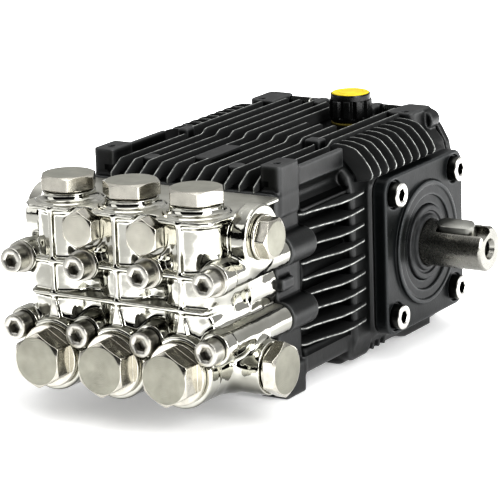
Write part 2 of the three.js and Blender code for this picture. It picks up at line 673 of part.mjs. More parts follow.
pump.add(
  mesh("crankcase", crankcase(), "casting"),
  mesh("rear_cover", rearCover(), "casting"),
  mesh("drive_bearing_cover", bearingCover(1), "cover"),
  mesh("blind_bearing_cover", bearingCover(-1), "cover"),
  mesh("shaft_seal", shaftSeal(), "rubber"),
  mesh("drive_bearing", bearing(1), "steel"),
  mesh("blind_bearing", bearing(-1), "steel"),
  mesh("oil_sight_glass", sightGlass(), "glass"),
  mesh("oil_drain_plug", drainPlug(), "steel"),
  mesh("oil_cap", oilCap(), "blackPlastic"),
  mesh("oil_cap_disc", oilCapDisc(), "yellow"),
  mesh("oil_cap_gasket", oilCapGasket(), "yellow"),
  mesh("crankshaft", crankshaft(), "steel"),
  placed(mesh("shaft_key", shaftKey(), "steel"), 0, 0, 0, (KEY.angle * Math.PI) / 180),
  mesh("lug_screw_left", lugScrew(-1), "boltSteel"),
  mesh("lug_screw_right", lugScrew(1), "boltSteel"),
  mesh("valve_head", valveHead(), "nickel"),
  mesh("outlet_plug", portPlug(OUTLET, 19, 11.4, Math.PI / 6), "capSteel"),
  mesh("inlet_plug", portPlug(INLET, 25, 12.2, 0), "capSteel"),
  mesh("gallery_plug_left", galleryPlug(-PITCH / 2), "capSteel"),
  mesh("gallery_plug_right", galleryPlug(PITCH / 2), "capSteel"),
);

Object.entries(COLUMNS).forEach(([side, x], index) => {
  const [pinY, pinZ] = pinCentre(index);
  const wrist = [x, pinY - ROD_LENGTH, pinZ + PLUNGER_RISE];
  pump.add(
    placed(mesh(`connecting_rod_${side}`, connectingRod(), "aluminium"), x, pinY, pinZ),
    placed(mesh(`wrist_pin_${side}`, wristPin(), "steel"), ...wrist),
    placed(mesh(`crosshead_${side}`, crosshead(), "aluminium"), x, 0, PLUNGER_RISE),
    placed(mesh(`plunger_${side}`, plunger(), "ceramic"), x, 0, PLUNGER_RISE),
    placed(mesh(`plunger_packing_${side}`, plungerPacking(), "rubber"), x, 0, PLUNGER_RISE),
    mesh(`suction_cap_${side}`, suctionCap(x), "capSteel"),
    mesh(`delivery_cap_${side}`, deliveryCap(side, x), "capSteel"),
    mesh(`suction_valve_${side}`, valvePoppet("y", -177, -1, 10.5, -185.7, x, SUCTION_Z), "steel"),
    mesh(`delivery_valve_${side}`, valvePoppet("z", 27, 1, 9.5, 42, x, COLUMN_Y), "steel"),
  );
});

HEAD_BOLTS.forEach(({ x, z, row }) => {
  const place = BOLT_XS.indexOf(x) + 1;
  const screw = capScrew("y", BOLT.face, BOLT.end, x, z, row === "upper");
  pump.add(mesh(`head_bolt_${row}_${place}`, screw, "boltSteel"));
});

[["upper", 1], ["lower", -1]].forEach(([row, sz]) => {
  [["front", -1], ["rear", 1]].forEach(([end, sy]) => {
    const screw = capScrew("x", 74.6, 50, sy * COVER.bolt, sz * COVER.bolt, false);
    pump.add(mesh(`cover_bolt_${row}_${end}`, screw, "boltSteel"));
  });
});

const assembly = new THREE.Group();
assembly.add(pump);

export default assembly;
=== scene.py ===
from math import cos, pi, radians, sin, sqrt, tan

import bmesh
import bpy
import numpy as np
from mathutils import Matrix, Vector


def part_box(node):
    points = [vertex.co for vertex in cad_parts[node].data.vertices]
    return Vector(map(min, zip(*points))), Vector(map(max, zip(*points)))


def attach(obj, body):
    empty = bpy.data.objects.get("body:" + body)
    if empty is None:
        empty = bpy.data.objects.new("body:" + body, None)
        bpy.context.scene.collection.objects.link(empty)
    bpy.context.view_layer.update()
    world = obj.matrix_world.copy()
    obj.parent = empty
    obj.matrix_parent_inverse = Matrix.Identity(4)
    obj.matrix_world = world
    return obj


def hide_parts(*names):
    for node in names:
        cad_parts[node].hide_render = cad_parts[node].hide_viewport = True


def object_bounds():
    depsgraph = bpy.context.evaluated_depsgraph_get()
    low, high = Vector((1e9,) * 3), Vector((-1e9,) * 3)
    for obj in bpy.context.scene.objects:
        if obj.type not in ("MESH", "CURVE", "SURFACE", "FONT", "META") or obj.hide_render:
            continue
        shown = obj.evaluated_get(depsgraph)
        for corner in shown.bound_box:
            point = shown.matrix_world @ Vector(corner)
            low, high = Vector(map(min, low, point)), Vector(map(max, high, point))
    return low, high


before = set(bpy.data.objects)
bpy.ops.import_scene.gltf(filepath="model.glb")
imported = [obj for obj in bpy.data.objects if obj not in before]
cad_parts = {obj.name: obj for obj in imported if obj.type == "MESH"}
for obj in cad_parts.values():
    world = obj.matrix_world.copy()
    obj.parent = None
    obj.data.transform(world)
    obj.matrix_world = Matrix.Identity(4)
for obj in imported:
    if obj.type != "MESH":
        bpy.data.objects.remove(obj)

# The looks of a triplex plunger pump. Lengths in this script are millimetres from the crankshaft
# axis, as in the CAD, until metres() or Shell.mesh() turns them into the frame's metres.
CAD_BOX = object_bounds()
MM = 0.001


def centre(node):
    """The middle of a CAD node's box, in millimetres from the crankshaft axis."""
    low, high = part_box(node)
    return (low + high) / 2 / MM - Vector((0, 0, SHAFT_Z))


def span(node):
    """A CAD node's lowest and highest corners, in millimetres from the crankshaft axis."""
    low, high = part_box(node)
    up = Vector((0, 0, SHAFT_Z))
    return low / MM - up, high / MM - up


SHAFT_Z = sum(c.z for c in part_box("shaft_seal")) / 2 / MM
COLUMNS = {s: (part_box(f"delivery_cap_{s}")[0].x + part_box(f"delivery_cap_{s}")[1].x) / 2 / MM
           for s in ("left", "middle", "right")}
PITCH = COLUMNS["right"] - COLUMNS["middle"]
MATING_Y = span("crankcase")[0].y
HEAD_Y = span("valve_head")[1].y
BARREL_Y = span("valve_head")[0].y
INLET_END = span("valve_head")[1].x
OUTLET_END = span("outlet_plug")[0].x + 11  # the plug reaches 11 mm into its port
COLUMN_Y = centre("delivery_cap_middle").y
SUCTION_Z = centre("suction_cap_middle").z
OUTLET = centre("outlet_plug")
INLET = centre("inlet_plug")
PLUG_Z = centre("gallery_plug_left").z
CASE_BOTTOM = span("crankcase")[0].z
PLATE_TOP = 51.4  # top plate of the valve head
WEB_FRONT = -190.5  # front edges of the head's webs and ribs
NECK_TOP = 56.4  # round necks under the delivery caps
BOLT_SEAT = {"upper": -189.2, "lower": -190.7}
HEAD_BOLTS = {f"head_bolt_{row}_{i}": row for row in ("upper", "lower") for i in (1, 2, 3, 4)}
BOLT_Z = {row: centre(f"head_bolt_{row}_1").z for row in ("upper", "lower")}
PLUNGER_Z = sum(BOLT_Z.values()) / 2
FIN_PITCH = 8.5
FIN_THICK = 1.8
FLANK_FIN_Z = -31.0  # the lowest flank fin
SHOULDER_FIN_Y = -51.5  # the foremost shoulder fin
CRANK_THROW = 5.0
KEY_TURN = radians(25)  # the key's turn from upright
CHAMBER_Y = -60.0  # front wall of the crank chamber
REAR_Y = 46.0
COVER_SCREW = 32.8  # from the shaft axis to each cover screw, both across and up
AXES = {"x": 0, "y": 1, "z": 2}


# ---- distance fields --------------------------------------------------------------------------

def smooth_min(a, b, k):
    if k <= 0:
        return np.minimum(a, b)
    h = np.maximum(k - np.abs(a - b), 0) / k
    return np.minimum(a, b) - h * h * k * 0.25


def rounded_pair(a, b, r):
    """The distance to where two distances are both negative, with the edge between them rounded."""
    outside = np.sqrt(np.maximum(a + r, 0) ** 2 + np.maximum(b + r, 0) ** 2)
    return outside + np.minimum(np.maximum(a + r, b + r), 0) - r


def outline_distance(outline, u, v):
    """Signed distance in a plane to a closed outline, negative inside."""
    nearest = np.full(np.broadcast(u, v).shape, 1e9)
    inside = np.zeros(nearest.shape, bool)
    for (au, av), (bu, bv) in zip(outline, outline[1:] + outline[:1]):
        du, dv = bu - au, bv - av
        length = du * du + dv * dv
        if length < 1e-12:
            continue
        t = np.clip(((u - au) * du + (v - av) * dv) / length, 0, 1)
        nearest = np.minimum(nearest, (u - au - t * du) ** 2 + (v - av - t * dv) ** 2)
        if av != bv:
            crosses = (av > v) != (bv > v)
            inside ^= crosses & (u < (bu - au) * (v - av) / (bv - av) + au)
    return np.where(inside, -1, 1) * np.sqrt(nearest)


def slab(t, start, end):
    return np.maximum(min(start, end) - t, t - max(start, end))


def plane_axes(axis):
    return [i for i in range(3) if i != AXES[axis]]


def cone(axis, r_start, r_end, start, end, a, b, edge=0.4):
    """A round bar along an axis, centred on (a, b) in the plane across it, whose radius changes
    evenly from one end to the other."""
    i, j = plane_axes(axis)
    slope = (r_end - r_start) / (end - start)
    lean = 1 / sqrt(1 + slope * slope)

    def distance(*p):
        radius = r_start + slope * (p[AXES[axis]] - start)
        across = (np.sqrt((p[i] - a) ** 2 + (p[j] - b) ** 2) - radius) * lean
        return rounded_pair(across, slab(p[AXES[axis]], start, end), edge)

    r = max(r_start, r_end)
    low, high = [0, 0, 0], [0, 0, 0]
    low[i], low[j], low[AXES[axis]] = a - r, b - r, min(start, end)
    high[i], high[j], high[AXES[axis]] = a + r, b + r, max(start, end)
    return low, high, distance


def cylinder(axis, r, start, end, a, b, edge=0.4):
    return cone(axis, r, r, start, end, a, b, edge)


def prism(axis, outline, start, end, edge=0.4):
    """An outline in the plane across an axis, run along that axis."""
    i, j = plane_axes(axis)

    def distance(*p):
        across = outline_distance(outline, p[i], p[j])
        return rounded_pair(across, slab(p[AXES[axis]], start, end), edge)

    low, high = [0, 0, 0], [0, 0, 0]
    low[i], high[i] = min(u for u, _ in outline), max(u for u, _ in outline)
    low[j], high[j] = min(v for _, v in outline), max(v for _, v in outline)
    low[AXES[axis]], high[AXES[axis]] = min(start, end), max(start, end)
    return low, high, distance


def block(x0, x1, y0, y1, z0, z1, edge=0.6):
    def distance(x, y, z):
        return rounded_pair(rounded_pair(slab(x, x0, x1), slab(y, y0, y1), edge), slab(z, z0, z1), edge)

    return [min(x0, x1), y0, z0], [max(x0, x1), y1, z1], distance


class Field:
    """A signed distance field on a grid. Shapes are joined and cut in turn, with blended seams."""

    def __init__(self, low, high, cell):
        self.cell = cell
        self.axes = [np.arange(low[n] - 3 * cell, high[n] + 3 * cell, cell, dtype=np.float32)
                     for n in range(3)]
        self.value = np.full([len(a) for a in self.axes], 50.0, np.float32)

    def _part(self, low, high, margin):
        window, coordinates = [], []
        for n, values in enumerate(self.axes):
            first = int(np.searchsorted(values, low[n] - margin))
            last = int(np.searchsorted(values, high[n] + margin))
            window.append(slice(first, last))
            shape = [1, 1, 1]
            shape[n] = -1
            coordinates.append(values[first:last].reshape(shape))
        return tuple(window), coordinates

    def join(self, shape, blend=0.0, sign=1):
        """Adds a shape, or takes it away where the sign is -1."""
        low, high, distance = shape
        window, p = self._part(low, high, blend + 3 * self.cell)
        self.value[window] = sign * smooth_min(sign * self.value[window], distance(*p), blend)

    def cut(self, shape, blend=0.0):
        self.join(shape, blend, -1)

    def sample(self, points):
        """The field's value at free points, between the grid's own."""
        q = (points - [a[0] for a in self.axes]) / self.cell
        base = np.clip(q.astype(int), 0, np.array(self.value.shape) - 2)
        f = q - base
        total = np.zeros(len(points))
        for corner in np.ndindex(2, 2, 2):
            weight = np.prod(np.where(corner, f, 1 - f), axis=1)
            total += weight * self.value[tuple((base + corner).T)]
        return total

    def slope(self, points):
        h = 0.5 * self.cell
        steps = np.eye(3) * h
        return np.stack([self.sample(points + s) - self.sample(points - s) for s in steps], 1) / (2 * h)

    def surface(self):
        """Vertices, quads and normals of the zero level, by surface nets pulled onto the level."""
        value = self.value
        inside = value < 0
        count = sum(inside[tuple(slice(c, value.shape[n] - 1 + c) for n, c in enumerate(corner))]
                    .astype(np.uint8) for corner in np.ndindex(2, 2, 2))
        active = (count > 0) & (count < 8)
        cells = np.argwhere(active)
        number = np.full(active.shape, -1, np.int64)
        number[active] = np.arange(len(cells))
        total, crossings = np.zeros((len(cells), 3)), np.zeros(len(cells))
        for n in range(3):
            for u, v in np.ndindex(2, 2):
                start = np.insert(np.array([u, v]), n, 0)
                end = np.insert(np.array([u, v]), n, 1)
                a, b = value[tuple((cells + start).T)], value[tuple((cells + end).T)]
                hit = (a < 0) != (b < 0)
                t = np.where(hit, a / np.where(hit, a - b, 1), 0)
                total += (start + t[:, None] * (end - start)) * hit[:, None]
                crossings += hit
        points = (cells + total / crossings[:, None]) * self.cell + [a[0] for a in self.axes]
        quads = []
        for n in range(3):
            here = [slice(1, -1)] * 3
            here[n] = slice(0, -1)
            there = list(here)
            there[n] = slice(1, None)
            a, b = inside[tuple(here)], inside[tuple(there)]
            u, v = [m for m in range(3) if m != n]
            for flip, hit in ((False, a & ~b), (True, ~a & b)):
                at = np.argwhere(hit) + [0 if m == n else 1 for m in range(3)]
                around = []
                for du, dv in ((0, 0), (1, 0), (1, 1), (0, 1)):
                    cell = at.copy()
                    cell[:, u] -= du
                    cell[:, v] -= dv
                    around.append(number[tuple(cell.T)])
                order = around if flip == (n == 1) else around[::-1]
                quads.append(np.stack(order, 1))
        for _ in range(3):
            grade = self.slope(points)
            size = np.maximum((grade ** 2).sum(1), 0.05)
            move = grade * (self.sample(points) / size)[:, None]
            reach = np.linalg.norm(move, axis=1, keepdims=True)
            points -= move * np.minimum(1, 0.4 * self.cell / np.maximum(reach, 1e-9))
        grade = self.slope(points)
        normals = grade / np.maximum(np.linalg.norm(grade, axis=1, keepdims=True), 1e-9)
        return points, np.concatenate(quads), normals


# ---- meshes -----------------------------------------------------------------------------------

def metres(points):
    return (np.asarray(points, float) + [0, 0, SHAFT_Z]) * MM


def show(mesh, name, body, nodes=()):
    """Puts a mesh in the scene as a piece that rides on a body in place of CAD nodes."""
    piece = bpy.data.objects.new(name, mesh)
    bpy.context.scene.collection.objects.link(piece)
    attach(piece, body)
    if nodes:
        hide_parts(*nodes)
    return piece


def field_mesh(name, field):
    points, quads, normals = field.surface()
    mesh = bpy.data.meshes.new(name)
    inside = np.clip(metres(points), *(np.array(corner) for corner in CAD_BOX))
    mesh.from_pydata(inside.tolist(), [], quads.tolist())
    mesh.shade_smooth()
    mesh.normals_split_custom_set_from_vertices(normals.tolist())
    return mesh


def fillet(points, radius, steps=4):
    """A closed outline with its corners turned into arcs. A radius may be given for each corner."""
    radii = [radius] * len(points) if np.isscalar(radius) else radius
    out = []
    for n, corner in enumerate(points):
        if radii[n] <= 0:
            out.append(tuple(corner))
            continue
        p = Vector(corner)
        to_last = Vector(points[n - 1]) - p
        to_next = Vector(points[(n + 1) % len(points)]) - p
        half = to_last.angle(to_next) / 2
        if half > radians(88.5) or half < radians(1):
            out.append(tuple(corner))
            continue
        reach = min(radii[n] / tan(half), 0.49 * to_last.length, 0.49 * to_next.length)
        r = reach * tan(half)
        middle = p + (to_last.normalized() + to_next.normalized()).normalized() * (r / sin(half))
        first = p + to_last.normalized() * reach - middle
        last = p + to_next.normalized() * reach - middle
        turn = first.angle_signed(last)
        for i in range(steps + 1):
            arm = Matrix.Rotation(-turn * i / steps, 2) @ first
            out.append(tuple(middle + arm))
    return out


def rectangle(u0, u1, v0, v1, r, steps=6):
    return fillet([(u0, v0), (u1, v0), (u1, v1), (u0, v1)], r, steps)


def mirror_outline(outline, sign):
    return [(sign * u, v) for u, v in outline]


def both_halves(half):
    """A closed outline from its right half, given from the bottom or front upwards."""
    return half + mirror_outline(half[::-1], -1)


class Shell:
    """Faces gathered in millimetres and turned into one mesh with sharp edges kept."""

    def __init__(self):
        self.bm = bmesh.new()

    def turned(self, profile, axis, a, b, segments=64, shape=None):
        """A profile of (radius, position) turned about an axis. shape(angle, radius, position) may
        move a point outwards or along, for flutes and flats."""
        rings = []
        for r, t in profile:
            if r <= 1e-6:
                rings.append([self.bm.verts.new(on_axis(axis, a, b, 0, 0, t))])
                continue
            ring = []
            for i in range(segments):
                angle = 2 * pi * i / segments
                radius, along = shape(angle, r, t) if shape else (r, t)
                ring.append(self.bm.verts.new(
                    on_axis(axis, a, b, radius * cos(angle), radius * sin(angle), along)))
            rings.append(ring)
        for one, two in zip(rings, rings[1:]):
            for i in range(segments):
                j = (i + 1) % segments
                corners = [one[i % len(one)], one[j % len(one)], two[j % len(two)], two[i % len(two)]]
                distinct = list(dict.fromkeys(corners))
                if len(distinct) > 2:
                    self.bm.faces.new(distinct)
        return self

    def prism(self, outline, axis, start, end, bevel=0.0, segments=2, rim=0):
        """An outline run along an axis. Its rim may take another material slot, and then its two
        sides take the slot after that."""
        i, j = plane_axes(axis)
        before = set(self.bm.faces)
        rings = []
        for t in (start, end):
            ring = []
            for u, v in outline:
                p = [0.0, 0.0, 0.0]
                p[i], p[j], p[AXES[axis]] = u, v, t
                ring.append(self.bm.verts.new(p))
            rings.append(ring)
        faces = [self.bm.faces.new(rings[0]), self.bm.faces.new(rings[1][::-1])]
        for n in range(len(outline)):
            m = (n + 1) % len(outline)
            faces.append(self.bm.faces.new([rings[0][m], rings[0][n], rings[1][n], rings[1][m]]))
        if bevel:
            bmesh.ops.recalc_face_normals(self.bm, faces=faces)
            edges = {e for f in faces for e in f.edges if e.calc_face_angle(0) > radians(25)}
            bmesh.ops.bevel(self.bm, geom=list(edges), offset=bevel, segments=segments,
                            affect="EDGES", clamp_overlap=True, profile=0.5)
        if rim:
            for face in set(self.bm.faces) - before:
                face.normal_update()
                face.material_index = rim if abs(face.normal[AXES[axis]]) < 0.3 else rim + 1
        return self

    def rotated(self, turn):
        for v in self.bm.verts:
            v.co = turn @ v.co
        return self

    def mesh(self, name, sharp=32):
        """The faces as a mesh in metres, smooth but for edges that turn by more than sharp degrees."""
        bmesh.ops.recalc_face_normals(self.bm, faces=self.bm.faces[:])
        for f in self.bm.faces:
            f.smooth = True
        for e in self.bm.edges:
            e.smooth = e.calc_face_angle(0) < radians(sharp)
        mesh = bpy.data.meshes.new(name)
        for v in self.bm.verts:
            v.co = (v.co + Vector((0, 0, SHAFT_Z))) * MM
        self.bm.to_mesh(mesh)
        self.bm.free()
        return mesh


def on_axis(axis, a, b, u, v, t):
    """A point at (a + u, b + v) across an axis and t along it, turning right-handed about it."""
    if axis == "x":
        return Vector((t, a + u, b + v))
    if axis == "y":
        return Vector((a + u, t, b + v))
    return Vector((a + u, b + v, t))


def carve(mesh, tool):
    """The mesh with another mesh cut from it, as a new mesh."""
    holder = bpy.data.objects.new("holder", mesh)
    cutter = bpy.data.objects.new("cutter", tool)
    for o in (holder, cutter):
        bpy.context.scene.collection.objects.link(o)
    modifier = holder.modifiers.new("cut", "BOOLEAN")
    modifier.object, modifier.operation, modifier.solver = cutter, "DIFFERENCE", "EXACT"
    bpy.context.view_layer.update()
    made = bpy.data.meshes.new_from_object(holder.evaluated_get(bpy.context.evaluated_depsgraph_get()))
    for o in (holder, cutter):
        bpy.data.objects.remove(o)
    return made


def soften(piece, width, segments=2, angle=32):
    """Small rounds on a piece's sharp edges, with shading that keeps its flats flat."""
    bevel = piece.modifiers.new("edges", "BEVEL")
    bevel.width, bevel.segments = width * MM, segments
    bevel.limit_method, bevel.angle_limit = "ANGLE", radians(angle)
    bevel.harden_normals = False
    piece.modifiers.new("shading", "WEIGHTED_NORMAL").keep_sharp = True
    return piece


def joined(name, meshes):
    """Several meshes as one."""
    bm = bmesh.new()
    for mesh in meshes:
        bm.from_mesh(mesh)
    made = bpy.data.meshes.new(name)
    bm.to_mesh(made)
    bm.free()
    return made


# ---- materials --------------------------------------------------------------------------------

def ranged(tree, source, start, end, low, high, smooth=True):
    """A map range node that takes the source from start..end to low..high."""
    made = tree.nodes.new("ShaderNodeMapRange")
    if smooth:
        made.interpolation_type = "SMOOTHSTEP"
    for key, value in (("From Min", start), ("From Max", end), ("To Min", low), ("To Max", high)):
        made.inputs[key].default_value = value
    tree.links.new(source, made.inputs["Value"])
    return made.outputs["Result"]


class Surface:
    """A material being put together: one Principled shader and the nodes that feed it."""

    def __init__(self, name, color, roughness, metallic=0.0, **constants):
        self.material = bpy.data.materials.new(name)
        self.material.use_nodes = True
        self.tree = self.material.node_tree
        self.shader = next(n for n in self.tree.nodes if n.type == "BSDF_PRINCIPLED")
        self.shader.inputs["Base Color"].default_value = (*color, 1)
        self.shader.inputs["Roughness"].default_value = roughness
        self.shader.inputs["Metallic"].default_value = metallic
        for key, value in constants.items():
            self.shader.inputs[key.replace("_", " ")].default_value = value
        self.place = self.node("ShaderNodeTexCoord").outputs["Object"]
        self.height = None

    def node(self, kind, **settings):
        made = self.tree.nodes.new(kind)
        for key, value in settings.items():
            setattr(made, key, value)
        return made

    def link(self, source, target):
        self.tree.links.new(source, target)

    def noise(self, scale, detail=3.0, roughness=0.5):
        made = self.node("ShaderNodeTexNoise")
        made.inputs["Scale"].default_value = scale
        made.inputs["Detail"].default_value = detail
        made.inputs["Roughness"].default_value = roughness
        self.link(self.place, made.inputs["Vector"])
        return made.outputs["Fac"]

    def ramp(self, source, stops):
        made = self.node("ShaderNodeValToRGB")
        while len(made.color_ramp.elements) < len(stops):
            made.color_ramp.elements.new(0.5)
        for element, (place, value) in zip(made.color_ramp.elements, stops):
            element.position = place
            element.color = (*value, 1) if hasattr(value, "__len__") else (value, value, value, 1)
        self.link(source, made.inputs["Fac"])
        return made.outputs["Color"]

    def colour(self, source):
        self.link(source, self.shader.inputs["Base Color"])

    def mixed(self, factor, one, two):
        """A colour between two, each given as a socket or an RGB triple."""
        made = self.node("ShaderNodeMix", data_type="RGBA")
        self.link(factor, made.inputs["Factor"])
        for value, socket in ((one, made.inputs["A"]), (two, made.inputs["B"])):
            if isinstance(value, bpy.types.NodeSocket):
                self.link(value, socket)
            else:
                socket.default_value = (*value, 1)
        return made.outputs["Result"]

    def patchy(self, noise, start, end, one, two):
        """Colours the surface from one to two where the noise passes from start to end."""
        return self.mixed(self.ramp(noise, [(start, 0.0), (end, 1.0)]), one, two)

    def split(self, source):
        """The X, Y and Z of a vector socket, as the outputs of one node."""
        made = self.node("ShaderNodeSeparateXYZ")
        self.link(source, made.inputs["Vector"])
        return made.outputs

    def roughness(self, source, low, high):
        self.link(ranged(self.tree, source, 0, 1, low, high, False), self.shader.inputs["Roughness"])

    def bump(self, source, distance, strength=1.0):
        """Raises the surface where the source is bright, by distance in metres."""
        made = self.node("ShaderNodeBump")
        made.inputs["Distance"].default_value = distance
        made.inputs["Strength"].default_value = strength
        self.link(source, made.inputs["Height"])
        if self.height:
            self.link(self.height, made.inputs["Normal"])
        self.height = made.outputs["Normal"]
        self.link(self.height, self.shader.inputs["Normal"])

    def math(self, operation, one, two=None):
        made = self.node("ShaderNodeMath", operation=operation)
        for value, socket in zip((one, two), made.inputs):
            if isinstance(value, bpy.types.NodeSocket):
                self.link(value, socket)
            elif value is not None:
                socket.default_value = value
        return made.outputs["Value"]

    def edge_wear_and_highlight(self):
        """Bright on sharp edges, from how sharply the mesh turns: paint rubbed thin there, and partly a
        painted highlight.
        """
        source = self.node("ShaderNodeNewGeometry").outputs["Pointiness"]
        return self.ramp(source, [(0.5, 0.0), (0.56, 1.0)])

    def rings(self, axis, a, b, pitch):
        """Fine turning marks around an axis through (a, b) in metres."""
        place = self.split(self.place)
        i, j = plane_axes(axis)
        du = self.math("SUBTRACT", place[i], a)
        dv = self.math("SUBTRACT", place[j], b)
        square = self.math("ADD", self.math("MULTIPLY", du, du), self.math("MULTIPLY", dv, dv))
        radius = self.math("SQRT", square)
        warped = self.math("ADD", self.math("MULTIPLY", radius, 2 * pi / pitch),
                           self.math("MULTIPLY", self.noise(400.0), 3.0))
        return self.math("SINE", warped)


CASTING_BLACK = (0.0022, 0.0027, 0.0027)
# Blacker and less shiny than the casting paint: a painted shade for the fin sides and the walls between
# the fins.
FIN_SHADE_BLACK = (0.0012, 0.0015, 0.0015)
COVER_BLACK = (0.0045, 0.0056, 0.006)
CAP_STEEL = (0.62, 0.6, 0.54)
CAP_FACE = (0.33, 0.325, 0.28)


def paint(name, color, roughness, shine=0.5, grain=0.00005):
    """Satin black paint on a casting: fine orange peel, dusty variation, and lighter edges that are
    partly rubbed paint and partly a painted highlight.
    """
    s = Surface(name, color, roughness, Specular_IOR_Level=shine, Coat_Weight=0.04, Coat_Roughness=0.3)
    pale = tuple(c * 1.6 + 0.002 for c in color)
    worn_and_highlight = tuple(c * 4 + 0.06 for c in color)
    # Lighter edges: partly rubbed paint, partly a painted highlight along the edges that catch the
    # light.
    s.colour(s.mixed(s.edge_wear_and_highlight(), s.patchy(s.noise(35.0, 4.0), 0.35, 0.75, color, pale), worn_and_highlight))
    s.roughness(s.noise(120.0, 3.0), roughness - 0.08, roughness + 0.1)
    s.bump(s.noise(900.0, 2.0), grain)
    s.bump(s.noise(160.0, 3.0), 0.0001)
    return s.material


def fin_crest_highlight():
    """Crests of the fins, painted pale: a painted highlight along the edges that catch the light."""
    s = Surface("fin_crest_painted_highlight", (0.3, 0.31, 0.3), 0.3, Specular_IOR_Level=0.2)
    # Pale crest colour: a painted highlight.
    s.colour(s.patchy(s.noise(300.0, 5.0, 0.6), 0.35, 0.6, (0.13, 0.135, 0.13), (0.46, 0.47, 0.45)))
    s.roughness(s.noise(200.0, 3.0), 0.25, 0.45)
    s.bump(s.noise(700.0, 3.0), 0.00004)
    return s.material


def nickel():
    """Bright nickel plate over a tumbled forging: clean reflections that bend a little, and a painted
    shade that darkens the undersides."""
    s = Surface("nickel_plate", (0.57, 0.565, 0.52), 0.1, 1.0)
    plate = s.patchy(s.noise(45.0, 3.0), 0.3, 0.8, (0.6, 0.595, 0.55), (0.46, 0.455, 0.41))
    up = s.split(s.node("ShaderNodeNewGeometry").outputs["Normal"])["Z"]
    # Faces that look down are darkened towards a dark grey: painted shade.
    s.colour(s.mixed(ranged(s.tree, up, -0.25, -0.75, 0, 1), plate, (0.17, 0.168, 0.15)))
    level = s.ramp(up, [(0.88, 0.0), (0.97, 1.0)])
    s.roughness(s.math("MAXIMUM", s.math("MULTIPLY", s.noise(90.0, 4.0), 0.24), level), 0.02, 0.46)
    s.bump(s.noise(60.0, 2.0), 0.0009)
    s.bump(s.noise(260.0, 2.0), 0.00006)
    return s.material


def turned_metal(name, color, roughness, axis, a, b, pitch=0.0006, depth=0.00001):
    """Turned metal whose fine marks run round its own axis."""
    s = Surface(name, color, roughness, 1.0)
    s.colour(s.patchy(s.noise(120.0, 4.0), 0.35, 0.7, color, [c * 0.82 for c in color]))
    s.roughness(s.noise(500.0, 3.0), roughness - 0.07, roughness + 0.08)
    s.bump(s.rings(axis, a, b, pitch), depth, 0.7)
    s.bump(s.noise(700.0, 2.0), 0.000008)
    return s.material


def plain_metal(name, color, roughness, grain=600.0, depth=0.00001):
    s = Surface(name, color, roughness, 1.0)
    s.colour(s.patchy(s.noise(150.0, 4.0), 0.35, 0.75, color, [c * 0.75 for c in color]))
    s.roughness(s.noise(400.0, 3.0), roughness - 0.08, roughness + 0.1)
    s.bump(s.noise(grain, 2.0), depth)
    return s.material


def moulded(name, color, roughness, grain=1500.0):
    """Plastic or rubber with a fine moulded grain."""
    s = Surface(name, color, roughness)
    pale = tuple(min(1, c * 1.25 + 0.01) for c in color)
    s.colour(s.patchy(s.noise(200.0, 3.0), 0.35, 0.7, color, pale))
    s.roughness(s.noise(300.0, 3.0), roughness - 0.06, roughness + 0.1)
    s.bump(s.noise(grain, 2.0), 0.00003)
    return s.material


def glass():
    s = Surface("sight_glass_clear", (0.8, 0.84, 0.78), 0.08, 0.0, Transmission_Weight=0.9, IOR=1.5)
    s.roughness(s.noise(300.0, 3.0), 0.04, 0.14)
    s.bump(s.noise(200.0, 2.0), 0.00004)
    return s.material


def coat_end(piece, axis, side, level):
    """Gives the second material to the faces beyond a level along an axis."""
    n = AXES[axis]
    base = SHAFT_Z if n == 2 else 0
    for polygon in piece.data.polygons:
        if (polygon.center[n] / MM - base - level) * side > 0:
            polygon.material_index = 1


def finish(piece, *materials):
    """Gives a piece its materials, in the order of its faces' slots."""
    if piece.data.materials:
        piece.data.materials.clear()
    for material in materials:
        piece.data.materials.append(material)
    return piece


def turned_piece(name, profile, axis, at, segments, body, nodes=(), sharp=30, shape=None):
    """A profile turned about an axis through a point, as a piece that stands for CAD nodes."""
    i, j = plane_axes(axis)
    mesh = Shell().turned(profile, axis, at[i], at[j], segments, shape).mesh(name, sharp)
    return show(mesh, name, body, nodes)


# ---- crankcase --------------------------------------------------------------------------------

